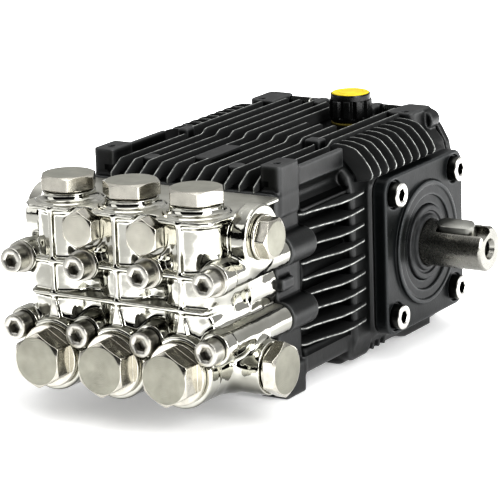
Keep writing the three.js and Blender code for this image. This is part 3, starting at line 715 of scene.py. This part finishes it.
def crankcase_core():
    """The casting without its fins: chamber, guide block, posts, pads, bosses, lobes and lugs."""
    case = Field((-69, MATING_Y, CASE_BOTTOM), (69, REAR_Y, 66), 0.8)
    half = [(50, -55), (57, -47), (60, -40), (60, 38), (58, 46), (52, 53), (44, 56)]
    case.join(prism("y", fillet(both_halves(half), 5, 4), CHAMBER_Y, REAR_Y, 3.0))
    # the guide block, the front plate and the roofs of the guide block and the chamber
    case.join(block(-49, 49, -106, CHAMBER_Y + 4, -41, 50, 2), 3)
    case.join(prism("y", rectangle(-55, 55, -52, 52, 3), MATING_Y, -105, 1.2), 3)
    case.join(block(-50, 50, -121, CHAMBER_Y + 4, 44, 53, 2), 2)
    case.join(block(-50, 50, CHAMBER_Y, REAR_Y, 44, 56, 2), 2)
    for s in (1, -1):
        # front foot, lower rail, swell over the outer guide bore and corner post
        case.join(block(s * 40, s * 57, -124, -105, CASE_BOTTOM, -38, 1.5), 2)
        case.join(block(s * 44, s * 57, -106, -57, -46, -33, 1.5), 2)
        case.join(cylinder("y", 18.3, -106, CHAMBER_Y + 4, s * PITCH, PLUNGER_Z), 3)
        post = rectangle(*sorted((s * 43.5, s * 55.5)), -124, -104, 2.5)
        case.join(prism("z", post, 40, 65.4, 0.7), 2.0)
        # the curved panel above the flank fins, and the pad of the bearing cover
        wave = [(55 - 4.5 * sin(t * pi / 8), 52 - 12 * t / 8) for t in range(9)]
        flank = [(40, 52), (52.6, 52), (52.6, 61.8), (55, 61.8), *wave,
                 (57, 39.8), (57, 38.4), (40, 38.4)]
        case.join(prism("y", mirror_outline(flank, s), -105, CHAMBER_Y + 1, 0.8), 1.5)
        pad = rectangle(-42.5, 42.5, -42.5, 42.5, 8)
        case.join(prism("x", pad, s * 50, s * 61.7, 0.8), 3)
        # bosses of the head bolts with a tab between them
        for z in BOLT_Z.values():
            case.join(cylinder("y", 8.3, MATING_Y, -103.5, s * 1.5 * PITCH, z, 1.0), 2.0)
        case.join(block(s * 50, s * 58.5, MATING_Y, -117, 3, 9, 1.0), 2)
        # the lobe under the flank with three ribs behind it, and the side foot
        case.join(prism("x", rectangle(-62, -39, -52, -35.5, 5), s * 46, s * 57.5, 1.6), 1.5)
        for y in (-34, -28, -22):
            case.join(block(s * 48, s * 56.5, y - 0.9, y + 0.9, -52, -41, 0.5), 1)
        foot = [(-14, -44), (-12, -49), (-3, -53.5), (3, -55), (31, -55), (31, -44)]
        case.join(prism("x", foot, s * 46, s * 55.4, 0.8), 1.0)
        # the rear lug and the rounded end beside it
        lug = rectangle(*sorted((s * 35, s * 51)), 22, REAR_Y, 4)
        case.join(prism("z", lug, 50, 63.2, 1.0), 2)
        case.join(cylinder("y", 5, 37, REAR_Y, s * 50.5, 56.5, 1.0), 2)
    for x in (-16, 18.5):
        case.join(prism("z", rectangle(x - 3.2, x + 3.2, 33, REAR_Y, 2), 50, 62.2, 1.0), 2)
    filler = centre("oil_cap")
    case.join(cylinder("z", 13.6, 48, 56.5, filler.x, filler.y, 0.8), 1.5)
    return case


def crankcase_details(case):
    """Small pads and bosses between the fins, and the holes in posts, lugs and covers."""
    case.join(block(-47, -41, -57, -49, 50, 62.8, 1), 1)
    case.join(block(-9.5, 1.0, -102, -70, 50, 60.4, 1), 1)
    case.join(block(28, 37, -53, -45, 50, 62.6, 1), 1)
    for x, y in ((20, -107), (-31, -107)):
        case.join(cylinder("z", 5.0, 50, 60, x, y, 1.0), 1)
    for s in (1, -1):
        case.cut(cylinder("z", 1.9, 60, 70, s * 49.5, -116, 0.3), 0.4)
        case.cut(cylinder("z", 1.9, 58, 70, s * 44.7, 26, 0.3), 0.4)
        stud = centre("lug_screw_right")
        case.cut(cylinder("x", 3.2, s * 20, s * 41, stud.y, stud.z, 0.2), 0.3)
        case.cut(cylinder("x", 31.3, s * 52, s * 63, 0, 0, 0.2))
    filler = centre("oil_cap")
    case.cut(cylinder("z", 9.2, 45, 60, filler.x, filler.y, 0.2), 0.6)
    for name in HEAD_BOLTS:
        at = centre(name)
        case.cut(cylinder("y", 4.8, MATING_Y - 1, -106, at.x, at.z, 0.2), 0.4)
    for x in COLUMNS.values():
        case.cut(cylinder("y", 15.6, MATING_Y - 1, -52, x, PLUNGER_Z, 0.2), 0.4)
    case.cut(block(-50, 50, -50, REAR_Y + 2, -48, 48, 2))


def flank_fin(shell, s, z):
    edge = [(57, -106), (57.3, -98), (59.5, -88), (62.6, -77), (63.2, -66), (61.6, -48)]
    outline = fillet([(46, -106), *edge, (46, -48)], 4, 4)
    shell.prism(mirror_outline(outline, s), "z", z - FIN_THICK / 2, z + FIN_THICK / 2, 0.55, 2, 1)


def top_fin(shell, x):
    """A fin along the roof, which steps up over the chamber. Those at the filler end before it."""
    beside_filler = FIN_PITCH / 2 < x < 3.5 * FIN_PITCH
    back = -15 if beside_filler else 36
    outline = [(-127.5, 48), (-127.5, 54.5), (-118, 60.2), (-53.5, 60.2), (-49.5, 62.6),
               (back, 62.6), (back, 48)]
    outline = fillet(outline, [0, 1, 5, 5, 5, 2, 0], 4)
    shell.prism(outline, "x", x - FIN_THICK / 2, x + FIN_THICK / 2, 0.55, 2, 1)


def shoulder_fin(shell, s, y):
    crest = [(42, 62), (52, 61.4), (58, 59.8), (62.5, 55.6), (66, 51), (69, 44.5)]
    outline = fillet([(42, 50), *crest, (56, 42)], 6, 4)
    shell.prism(mirror_outline(outline, s), "y", y - FIN_THICK / 2, y + FIN_THICK / 2, 0.55, 2, 1)


def paint_shade_between_fins(mesh):
    """Gives the walls between the fins, which see little light, the third material: a painted shade."""
    roots = ((50, 57.6, -107, -59, -37, 42), (0, 49, -124, 37, 48, 57.2), (42, 63, -55, 22, 43, 60))
    for polygon in mesh.polygons:
        x, y, z = polygon.center / MM
        x, z = abs(x), z - SHAFT_Z
        if polygon.material_index == 0 and any(
                a < x < b and c < y < d and e < z < f for a, b, c, d, e, f in roots):
            polygon.material_index = 2


def crankcase():
    case = crankcase_core()
    crankcase_details(case)
    fins = Shell()
    for s in (1, -1):
        for i in range(9):
            flank_fin(fins, s, FLANK_FIN_Z + i * FIN_PITCH)
            shoulder_fin(fins, s, SHOULDER_FIN_Y + i * FIN_PITCH)
    for i in range(-5, 6):
        top_fin(fins, i * FIN_PITCH)
    mesh = joined("crankcase_casting", [field_mesh("core", case), fins.mesh("fins")])
    paint_shade_between_fins(mesh)
    piece = show(mesh, "crankcase_casting", "housing", ["crankcase"])
    # The second material is a painted highlight on the fin crests; the third is a painted shade on the
    # fin sides and the walls between the fins.
    return finish(piece, paint("crankcase_paint", CASTING_BLACK, 0.38), fin_crest_highlight(),
                  paint("fin_side_painted_shade", FIN_SHADE_BLACK, 0.5, 0.06))


def lug_screws():
    """Studs in the inner sides of the rear lugs, blackened but for the end face."""
    black = plain_metal("stud_side", (0.03, 0.031, 0.03), 0.35)
    bright = turned_metal("stud_end", (0.6, 0.6, 0.56), 0.3, "x", 0, 0, 0.0005)
    for side, s in (("left", -1), ("right", 1)):
        node = f"lug_screw_{side}"
        low, high = span(node)
        at = centre(node)
        tip, root = (high.x, low.x) if s < 0 else (low.x, high.x)
        profile = [(0, tip), (2.1, tip), (2.5, tip + s * 0.5)]
        for turn in range(9):
            start = tip + s * (0.9 + turn * 1.2)
            profile += [(2.75, start), (2.75, start + s * 0.45), (2.4, start + s * 0.75)]
        profile += [(2.75, tip + s * 12), (2.75, root), (0, root)]
        piece = turned_piece(node + "_stud", profile, "x", at, 48, "housing", [node])
        finish(piece, black, bright)
        coat_end(piece, "x", -s, tip + s * 0.45)


def bearing_cover(name, node, side):
    """A square cover with a round boss: dished for the seal at the drive side, plain at the other."""
    low, high = span(node)
    inner, outer = (low.x, high.x) if side > 0 else (high.x, low.x)
    face = outer - side * 2
    cover = Field((low.x, low.y, low.z), (high.x, high.y, high.z), 0.6)
    h = high.y
    cover.join(prism("x", rectangle(-h, h, -h, h, 8, 8), inner, face, 1.0))
    cover.join(cylinder("x", 33, inner, outer, 0, 0, 0.5), 0.8)
    if side > 0:
        cover.cut(cylinder("x", 30.5, outer - 0.6, outer + 2, 0, 0, 0.2), 0.5)
        cover.cut(cylinder("x", 25.2, outer - 1.8, outer + 2, 0, 0, 0.2), 0.5)
        cover.cut(cylinder("x", 20.3, face - 2, outer + 2, 0, 0, 0.2), 0.3)
    else:
        cover.cut(cylinder("x", 29, outer + 0.8, outer - 2, 0, 0, 0.2), 0.6)
    for y in (-COVER_SCREW, COVER_SCREW):
        for z in (-COVER_SCREW, COVER_SCREW):
            cover.cut(cylinder("x", 4.4, inner - side * 2, outer + side * 2, y, z, 0.2))
            cover.cut(cylinder("x", 7.6, face - side * 1.5, outer + side * 2, y, z, 0.2), 0.6)
    piece = show(field_mesh(name, cover), name, "housing", [node])
    return finish(piece, paint(name + "_paint", COVER_BLACK, 0.3, 0.22))


def rear_cover():
    """The back plate with a raised field, five shallow pockets and its two fittings' seats."""
    low, high = span("rear_cover")
    half = [(48, -50), (56, -46), (59, -38), (60, 36), (58.5, 44), (54, 52), (47, 59.5), (40, 60.5)]
    cover = Field(low, high, 0.8)
    cover.join(prism("y", fillet(both_halves(half), 4, 4), low.y, low.y + 4.7, 1.0))
    cover.join(prism("y", rectangle(-51, 51, -43, 50, 8), low.y, high.y, 1.8), 1.5)
    for x in (-34, -17, 0, 17, 34):
        cover.cut(block(x - 6, x + 6, high.y - 1.2, high.y + 2, 14, 42, 1.0), 1.0)
    cover.cut(cylinder("y", 12.8, low.y + 3, high.y + 2, 0, centre("oil_sight_glass").z, 0.3), 0.6)
    cover.cut(cylinder("y", 7, low.y + 3, high.y + 2, 0, centre("oil_drain_plug").z, 0.3), 0.6)
    plate = field_mesh("rear_cover_plate", cover)
    piece = show(plate, "rear_cover_plate", "housing", ["rear_cover"])
    return finish(piece, paint("rear_cover_paint", CASTING_BLACK, 0.36))


# ---- valve head -------------------------------------------------------------------------------

def valve_head():
    """The forging: block, columns, suction barrels, port bosses and the tubes round the bolts."""
    low, high = span("valve_head")
    head = Field(low, high, 0.6)
    head.join(block(-50.3, 50.3, -162, HEAD_Y, -40, 50.2, 4))
    head.join(block(-PITCH, PITCH, -186, -150, -38, -8, 4), 4)
    head.join(block(-PITCH, PITCH, -179, -150, -9, 34, 3), 4)
    for s in (1, -1):
        head.join(block(s * 40, s * 51.5, -187, -138, -10, 24, 3), 3)
        head.join(cylinder("y", 17.4, -152, HEAD_Y, s * PITCH, PLUNGER_Z), 2)
        for rise in (6.6, -6.6):
            head.join(cylinder("y", 6, -186, -140, s * 47.4, PLUNGER_Z + rise, 2), 1.5)
    for x in COLUMNS.values():
        head.join(cylinder("z", 15.8, -8, PLATE_TOP - 1, x, COLUMN_Y, 3), 3)
        head.join(cone("y", 18.0, 19.4, -188, -150, x, SUCTION_Z, 3), 4)
    head.join(cylinder("x", 13.8, -INLET_END, INLET_END, INLET.y, INLET.z, 0.8), 5)
    for s in (1, -1):
        head.join(cylinder("x", 13, s * 42, s * 58, OUTLET.y, OUTLET.z, 1), 5)
        head.join(cylinder("x", 16.3, s * 56, s * OUTLET_END, OUTLET.y, OUTLET.z, 1.4), 3)
    for name, row in HEAD_BOLTS.items():
        at = centre(name)
        seat = BOLT_SEAT[row]
        head.join(cylinder("y", 7.6, seat + 2, HEAD_Y, at.x, at.z, 1.0), 4)
        head.join(cylinder("y", 8.3, seat, seat + 9, at.x, at.z, 0.8), 1.5)
    head_plate(head)
    head_webs(head)
    head_openings(head)
    forging = field_mesh("valve_head_forging", head)
    piece = show(forging, "valve_head_forging", "housing", ["valve_head"])
    return finish(piece, nickel())


def head_plate(head):
    """The top plate, and a round neck with a flared foot under each delivery cap."""
    half = [(50, WEB_FRONT), (54.5, WEB_FRONT + 4), (57.6, -150), (57.6, HEAD_Y)]
    outline = fillet(both_halves(half), [3, 4, 12, 0, 0, 12, 4, 3], 5)
    head.join(prism("z", outline, PLATE_TOP - 2.6, PLATE_TOP, 0.9), 1.5)
    for x in COLUMNS.values():
        head.join(cylinder("z", 16.6, PLATE_TOP - 4.5, PLATE_TOP + 1, x, COLUMN_Y, 0.8), 1.2)
        head.join(cylinder("z", 13.4, PLATE_TOP - 2, NECK_TOP, x, COLUMN_Y, 0.6), 3.0)


def head_webs(head):
    """Two level webs in front and an upright rib on each column, flared at its foot."""
    for z, half in ((BOLT_Z["upper"], 56.2), (PLUNGER_Z, 52)):
        outline = rectangle(-half, half, WEB_FRONT, COLUMN_Y, 4)
        head.join(prism("z", outline, z - 1.2, z + 1.2, 0.8), 1.6)
    for x in COLUMNS.values():
        foot = [(x - 1.2, 50), (x - 1.2, 4), (x - 4.2, -9), (x + 4.2, -9), (x + 1.2, 4), (x + 1.2, 50)]
        head.join(prism("y", foot, WEB_FRONT, COLUMN_Y, 0.8), 1.6)
    for x in (-PITCH / 2, PITCH / 2):
        head.join(cylinder("y", 11.4, -186.5, COLUMN_Y, x, PLUG_Z - 2, 1.2), 3)
    for x in COLUMNS.values():
        head.join(cylinder("y", 18.4, BARREL_Y, -184, x, SUCTION_Z, 1.2), 1.0)


def head_openings(head):
    """Bolt holes with their spot faces, the bores under the caps and plugs, and the four ports."""
    for name, row in HEAD_BOLTS.items():
        at = centre(name)
        seat = BOLT_SEAT[row]
        head.cut(cylinder("y", 4.6, seat - 2, HEAD_Y + 1, at.x, at.z, 0.2), 0.3)
        head.cut(cylinder("y", 8.7, BARREL_Y - 3, seat, at.x, at.z, 0.4), 0.6)
    for x in COLUMNS.values():
        head.cut(cylinder("z", 11.5, 27, NECK_TOP + 3, x, COLUMN_Y, 0.2), 0.4)
        head.cut(cylinder("y", 13, BARREL_Y - 2, -177, x, SUCTION_Z, 0.2), 0.4)
        head.cut(cylinder("y", 15, -146, HEAD_Y + 1, x, PLUNGER_Z, 0.2), 0.4)
    for x in (-PITCH / 2, PITCH / 2):
        head.cut(cylinder("y", 6.6, -190, -176, x, PLUG_Z, 0.2), 0.4)
        head.cut(cylinder("y", 10.8, WEB_FRONT - 8, -186.5, x, PLUG_Z, 0.3), 0.6)
    for at, port, end in ((OUTLET, 8.2, OUTLET_END), (INLET, 8.7, INLET_END)):
        for s in (1, -1):
            head.cut(cylinder("x", port, s * (end - 14), s * (end + 2), at.y, at.z, 0.2), 0.8)


def hex_cap(node, axis, side, flats, face, height, collar=None, phase=0.0,
            tint=CAP_FACE):
    """A hexagon head with a chamfered end and sometimes a round collar (radius, thickness) below.
    side points outwards, and flats and face are the widths over the flats and of the flat end."""
    low, high = span(node)
    at = centre(node)
    n = AXES[axis]
    outer = high[n] if side > 0 else low[n]
    i, j = plane_axes(axis)
    apothem, corner_round, top = flats / 2, 0.7, face / 2

    def down(depth):
        return outer - side * depth

    def hexagon(angle):
        turn = (angle + phase) % (pi / 3) - pi / 6
        crest = apothem / cos(pi / 6) - corner_round * (1 / cos(pi / 6) - 1) * 2.2
        return min(apothem / cos(turn), crest)

    def shape(angle, r, t):
        if t == "foot":
            return hexagon(angle), down(height)
        if t == "crown":
            return hexagon(angle), down(max((hexagon(angle) - top) * tan(radians(30)), 0.25))
        return r, t

    foot = [(0, down(height))]
    if collar:
        radius, thick = collar
        base = down(height + thick)
        foot = [(0, base), (radius - 0.4, base), (radius, base + side * 0.4),
                (radius, down(height + 0.4)), (radius - 0.4, down(height))]
    crown = [(top, down(0.12)), (top - 0.5, outer), (top * 0.6, outer), (0, outer)]
    shell = Shell().turned(foot + [(1, "foot"), (1, "crown")] + crown, axis, at[i], at[j], 240, shape)
    piece = show(shell.mesh(node + "_hex", 20), node + "_hex", "housing", [node])
    middle = (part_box(node)[0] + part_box(node)[1]) / 2
    flats_metal = plain_metal(node + "_flats", CAP_STEEL, 0.2)
    face_metal = turned_metal(node + "_face", tint, 0.4, axis, middle[i], middle[j], 0.0009, 0.00003)
    finish(soften(piece, 0.2, 2, 20), flats_metal, face_metal)
    coat_end(piece, axis, side, down(0.1))


def caps():
    """The screwed caps and plugs of the head. The delivery caps stand at different turns."""
    turns = {"left": 0.0, "middle": -17.0, "right": -4.0}
    for s in COLUMNS:
        hex_cap(f"suction_cap_{s}", "y", -1, 25, 24.4, 10.6, (16, 3.0), phase=pi / 6)
        hex_cap(f"delivery_cap_{s}", "z", 1, 26, 25.2, 7.0, (12.7, 0.9), phase=radians(turns[s]),
                tint=(0.47, 0.465, 0.41))
    for s in ("left", "right"):
        hex_cap(f"gallery_plug_{s}", "y", -1, 17, 16.6, 7.8, phase=pi / 6, tint=(0.6, 0.585, 0.52))
    hex_cap("outlet_plug", "x", 1, 19, 17.5, 6.4, (11.4, 1.5))
    hex_cap("inlet_plug", "x", 1, 25, 24, 6.8, (12.2, 1.5), phase=pi / 6)


def cap_screw(node, axis, side, side_metal, face_metal, washer):
    """A socket head cap screw with a rounded rim, a hexagon socket and sometimes a washer."""
    low, high = span(node)
    at = centre(node)
    n = AXES[axis]
    i, j = plane_axes(axis)
    face = high[n] if side > 0 else low[n]
    tip = low[n] if side > 0 else high[n]

    def down(depth):
        return face - side * depth

    profile = [(0, down(0)), (5.7, down(0)), (6.2, down(0.2)), (6.45, down(0.7)), (6.5, down(1.4)),
               (6.5, down(8))]
    if washer:
        profile += [(6.5, down(8.01)), (7.7, down(8.1)), (8.0, down(8.4)), (8.0, down(9.5)),
                    (4, down(9.5))]
    profile += [(4, down(9.6 if washer else 8.1)), (4, tip), (0, tip)]
    screw = Shell().turned(profile, axis, at[i], at[j], 72).mesh(node, 30)
    bore = [(0, down(4)), (3.46, down(4)), (3.46, down(0.5)), (4.3, down(-0.6)), (0, down(-0.6))]

    def six(angle, r, t):
        turn = angle % (pi / 3) - pi / 6
        return (r * cos(pi / 6) / cos(turn), t) if r < 4 else (r, t)

    socket = Shell().turned(bore, axis, at[i], at[j], 72, six).mesh("socket", 30)
    piece = show(carve(screw, socket), node + "_screw", "housing", [node])
    finish(piece, side_metal, face_metal)
    coat_end(piece, axis, side, down(0.9))


def screws():
    """The head bolts in zinc, the upper row on washers, and the cover bolts with dark sides."""
    grey = plain_metal("bolt_zinc", (0.5, 0.49, 0.45), 0.3)
    ring = turned_metal("bolt_face", (0.55, 0.54, 0.5), 0.3, "y", 0, 0, 0.0009)
    for node, row in HEAD_BOLTS.items():
        cap_screw(node, "y", -1, grey, ring, row == "upper")
    dark = plain_metal("cover_bolt_side", (0.075, 0.075, 0.07), 0.3)
    bright = plain_metal("cover_bolt_face", (0.82, 0.81, 0.77), 0.3)
    for row in ("upper", "lower"):
        for end in ("front", "rear"):
            cap_screw(f"cover_bolt_{row}_{end}", "x", 1, dark, bright, False)


# ---- shaft, seal, oil fittings ----------------------------------------------------------------

def crankshaft():
    """The keyed drive end, three crankpins and the webs and journals between them, and the key."""
    end = span("crankshaft")[1].x
    tail = [(0, 60), (12, 60), (12, end - 1.4), (11.6, end - 0.7), (10.9, end), (5.6, end),
            (4.2, end - 2.4), (4.2, end - 12), (0, end - 14)]
    body = Shell().turned(tail, "x", 0, 0, 128).mesh("tail", 30)
    turn = Matrix.Rotation(KEY_TURN, 3, "X")
    slot = Shell().prism([(80.5, -4.15), (end + 1, -4.15), (end + 1, 4.15), (80.5, 4.15)], "z", 8, 16)
    inner = [carve(body, slot.rotated(turn).mesh("slot"))]
    for k, x in enumerate(COLUMNS.values()):
        angle = radians(120 * k)
        pin = [(0, x - 10.4), (14, x - 10.4), (14, x + 10.4), (0, x + 10.4)]
        inner.append(Shell().turned(pin, "x", CRANK_THROW * cos(angle), CRANK_THROW * sin(angle), 48)
                     .mesh("pin"))
    for x0, x1, r in ((-68, -51, 15), (-51.5, -47.9, 19.6), (-27.1, -10.4, 21), (10.4, 27.1, 21),
                      (47.9, 51.5, 19.6), (51, 68, 15)):
        web = [(0, x0), (r - 0.6, x0), (r, x0 + 0.6), (r, x1 - 0.6), (r - 0.6, x1), (0, x1)]
        inner.append(Shell().turned(web, "x", 0, 0, 64).mesh("web"))
    mesh = joined("crankshaft_ground", inner)
    piece = show(mesh, "crankshaft_ground", "crankshaft", ["crankshaft"])
    steel = turned_metal("crankshaft_steel", (0.33, 0.325, 0.3), 0.26, "x", 0, SHAFT_Z * MM,
                         0.0004, 0.000004)
    finish(soften(piece, 0.25), steel)
    key = Shell().prism(rectangle(80.8, 102, -4, 4, 3.98, 10), "z", 8.3, 15, 0.45, 2)
    mesh = key.rotated(turn).mesh("shaft_key_steel")
    piece = show(mesh, "shaft_key_steel", "crankshaft", ["shaft_key"])
    finish(piece, plain_metal("key_steel", (0.3, 0.3, 0.28), 0.3))


def shaft_seal():
    """A rubber ring with a dust lip against the shaft."""
    lip = [(12.2, 69), (19.9, 69), (19.9, 71.2), (19.3, 71.7), (17, 71.7), (16.4, 70.9), (15.2, 70.9),
           (14.6, 72.4), (13.2, 72.9), (12.2, 72.2), (12.2, 69)]
    piece = turned_piece("shaft_seal_lip", lip, "x", (0, 0, 0), 128, "housing",
                         ["shaft_seal"])
    finish(soften(piece, 0.15), moulded("seal_rubber", (0.02, 0.021, 0.022), 0.5))


def oil_cap():
    """The fluted cap with its yellow disc, and the gasket under it."""
    low, high = span("oil_cap")
    at = centre("oil_cap")
    top = high.z

    def lobes(angle, r, t):
        if not 10.9 < r < 11.6 or t > top - 3.4 or t < 60.5:
            return r, t
        wave = 0.5 + 0.5 * cos(10 * angle)
        return r - 1.9 * (1 - min(1, wave * 1.9)), t

    base = 58.4
    profile = [(0, low.z), (2.4, low.z), (2.4, 47), (8.2, 48), (8.2, base), (9.8, base),
               (10.5, base + 0.4), (10.7, base + 1.6), (10.7, 60.4), (11.3, 60.6), (11.5, 61.6),
               (11.5, top - 4.2), (11.3, top - 3.5), (10.8, top - 3.3), (10.8, top - 0.9),
               (10.6, top - 0.3), (10.4, top), (10.2, top - 0.3), (10.2, top - 1.4), (0, top - 1.4)]
    piece = turned_piece("oil_cap_fluted", profile, "z", at, 240, "oil_cap",
                         ["oil_cap"], shape=lobes)
    finish(soften(piece, 0.2), moulded("oil_cap_plastic", (0.006, 0.0065, 0.0065), 0.22))
    disc = span("oil_cap_disc")
    low_z, high_z = disc[0].z, disc[1].z
    face = [(0, low_z), (10, low_z), (10, high_z - 0.3), (9.7, high_z), (7.2, high_z),
            (6.9, high_z - 0.3), (6.4, high_z - 0.3), (6.1, high_z), (0, high_z)]
    piece = turned_piece("oil_cap_yellow_disc", face, "z", at, 96, "oil_cap",
                         ["oil_cap_disc"])
    finish(piece, moulded("yellow_plastic_disc", (0.78, 0.62, 0.015), 0.42))
    low, high = span("oil_cap_gasket")
    seal = fillet([(8.7, low.z), (10.6, low.z), (10.6, high.z), (8.7, high.z)], 0.5, 3)
    piece = turned_piece("oil_cap_seal_ring", seal + seal[:1], "z", at, 96, "housing",
                         ["oil_cap_gasket"], 40)
    finish(piece, moulded("yellow_seal", (0.16, 0.13, 0.02), 0.5))


def rear_fittings():
    """The oil sight glass in its bezel, and the drain plug under it."""
    at = centre("oil_sight_glass")
    bezel = [(8.1, 52.5), (12.4, 56.4), (12.4, 58.6), (11.7, 59.5), (9.0, 59.5), (8.2, 58.6),
             (8.1, 57.8), (8.1, 52.5)]
    piece = turned_piece("sight_glass_bezel", bezel, "y", at, 96, "housing")
    finish(soften(piece, 0.2), plain_metal("bezel_zinc", (0.5, 0.5, 0.47), 0.35))
    lens = [(0, 53), (8.0, 53), (8.0, 57.8), (7.4, 58.2), (4, 58.5), (0, 58.6)]
    piece = turned_piece("sight_glass_lens", lens, "y", at, 64, "housing",
                         ["oil_sight_glass"], 40)
    finish(piece, glass())
    hex_cap("oil_drain_plug", "y", 1, 17, 15.5, 5.0, (11, 1.6))


def inner_pieces():
    """Materials for the CAD nodes that stay: bearings, rods, crossheads, plungers and valves."""
    looks = {
        "drive_bearing": plain_metal("bearing_steel", (0.5, 0.5, 0.48), 0.25),
        "connecting_rod": plain_metal("rod_aluminium", (0.55, 0.56, 0.55), 0.45, 300.0, 0.00006),
        "wrist_pin": plain_metal("pin_steel", (0.5, 0.5, 0.48), 0.22),
        "crosshead": plain_metal("crosshead_aluminium", (0.58, 0.59, 0.58), 0.4),
        "plunger_packing": moulded("packing_rubber", (0.03, 0.03, 0.035), 0.55),
        "plunger": moulded("plunger_ceramic", (0.82, 0.81, 0.76), 0.2),
        "suction_valve": plain_metal("valve_steel", (0.5, 0.5, 0.47), 0.28),
    }
    looks["blind_bearing"] = looks["drive_bearing"]
    looks["delivery_valve"] = looks["suction_valve"]
    for name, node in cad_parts.items():
        kind = max((k for k in looks if name.startswith(k)), key=len, default=None)
        if kind and not node.hide_render:
            finish(node, looks[kind])


# ---- stage ------------------------------------------------------------------------------------

def floor():
    """Pale paper that glows, a painted light. The glow fades out towards the front left, where the
    bright head mirrors it, and close to the pump, as a painted shadow."""
    mesh = bpy.data.meshes.new("studio_floor")
    low = CAD_BOX[0].z
    mesh.from_pydata([(-6, -6, low), (6, -6, low), (6, 6, low), (-6, 6, low)], [], [(0, 1, 2, 3)])
    piece = bpy.data.objects.new("studio_floor", mesh)
    bpy.context.scene.collection.objects.link(piece)
    s = Surface("floor_paper", (0.9, 0.9, 0.9), 0.9)
    s.colour(s.mixed(s.noise(3.0), (0.89, 0.89, 0.89), (0.92, 0.92, 0.92)))
    place = s.split(s.place)
    ahead = s.math("ADD", s.math("MULTIPLY", place["X"], 0.53), s.math("MULTIPLY", place["Y"], 0.85))
    away = s.node("ShaderNodeVectorMath", operation="DISTANCE")
    s.link(s.place, away.inputs[0])
    away.inputs[1].default_value = (0, -0.08, 0)
    # Painted light: the floor's glow, lowered near the pump as a painted shadow and faded out towards
    # the front left.
    strength = s.math("MULTIPLY", ranged(s.tree, ahead, -0.43, -0.28, 0, 1.3),
                      ranged(s.tree, away.outputs["Value"], 0.12, 0.25, 0.2, 1))
    s.link(strength, s.shader.inputs["Emission Strength"])
    s.shader.inputs["Emission Color"].default_value = (1, 1, 1, 1)
    finish(piece, s.material)


def light(name, place, target, size, power):
    data = bpy.data.lights.new(name, "AREA")
    data.shape, data.size, data.size_y = "RECTANGLE", size[0], size[1]
    data.energy = power
    lamp = bpy.data.objects.new(name, data)
    bpy.context.scene.collection.objects.link(lamp)
    lamp.location = place
    lamp.rotation_euler = (Vector(target) - Vector(place)).to_track_quat("-Z", "Y").to_euler()


def studio():
    """A room that is dark towards the viewer and bright behind, with soft panels around the pump."""
    scene = bpy.context.scene
    scene.view_settings.view_transform = "Standard"
    scene.view_settings.look = "High Contrast"
    world = bpy.data.worlds.new("studio")
    scene.world = world
    world.use_nodes = True
    tree = world.node_tree
    back = tree.nodes["Background"]
    back.inputs["Color"].default_value = (1, 1, 1, 1)
    split = tree.nodes.new("ShaderNodeSeparateXYZ")
    tree.links.new(tree.nodes.new("ShaderNodeTexCoord").outputs["Generated"], split.inputs["Vector"])
    total = tree.nodes.new("ShaderNodeMath")
    total.operation = "ADD"
    tree.links.new(ranged(tree, split.outputs["Y"], -0.5, 0.4, 0.01, 0.45), total.inputs[0])
    tree.links.new(ranged(tree, split.outputs["Z"], 0.4, 0.8, 0, 0.35), total.inputs[1])
    tree.links.new(total.outputs["Value"], back.inputs["Strength"])
    aim = (0.0, -0.07, 0.06)
    light("top_softbox", (0.0, -0.2, 1.5), aim, (1.4, 1.0), 5)
    light("left_softbox", (-1.2, -1.1, 0.7), aim, (0.9, 1.1), 3.5)
    light("right_softbox", (1.4, -0.5, 0.7), aim, (0.9, 1.2), 16)


def camera():
    """The camera, from its turn about the object, its height and its distance in millimetres."""
    azimuth, elevation, roll = radians(31.73), radians(14.49), radians(-1.82)
    place = Vector((820.95, -1391.62, 406.35))
    back = Vector((sin(azimuth) * cos(elevation), -cos(azimuth) * cos(elevation), sin(elevation)))
    right = Vector((cos(azimuth), sin(azimuth), 0))
    up = back.cross(right)
    tilted_right = cos(roll) * right + sin(roll) * up
    tilted_up = -sin(roll) * right + cos(roll) * up
    data = bpy.data.cameras.new("camera")
    data.sensor_width = 36
    data.lens = 221.49144
    data.clip_start, data.clip_end = 0.05, 50
    cam = bpy.data.objects.new("camera", data)
    bpy.context.scene.collection.objects.link(cam)
    turn = Matrix((tilted_right, tilted_up, back)).transposed().to_4x4()
    cam.matrix_world = Matrix.Translation(metres([place])[0]) @ turn
    bpy.context.scene.camera = cam


crankcase()
lug_screws()
bearing_cover("drive_cover_plate", "drive_bearing_cover", 1)
bearing_cover("blind_cover_plate", "blind_bearing_cover", -1)
rear_cover()
valve_head()
caps()
screws()
crankshaft()
shaft_seal()
oil_cap()
rear_fittings()
inner_pieces()
floor()
studio()
camera()
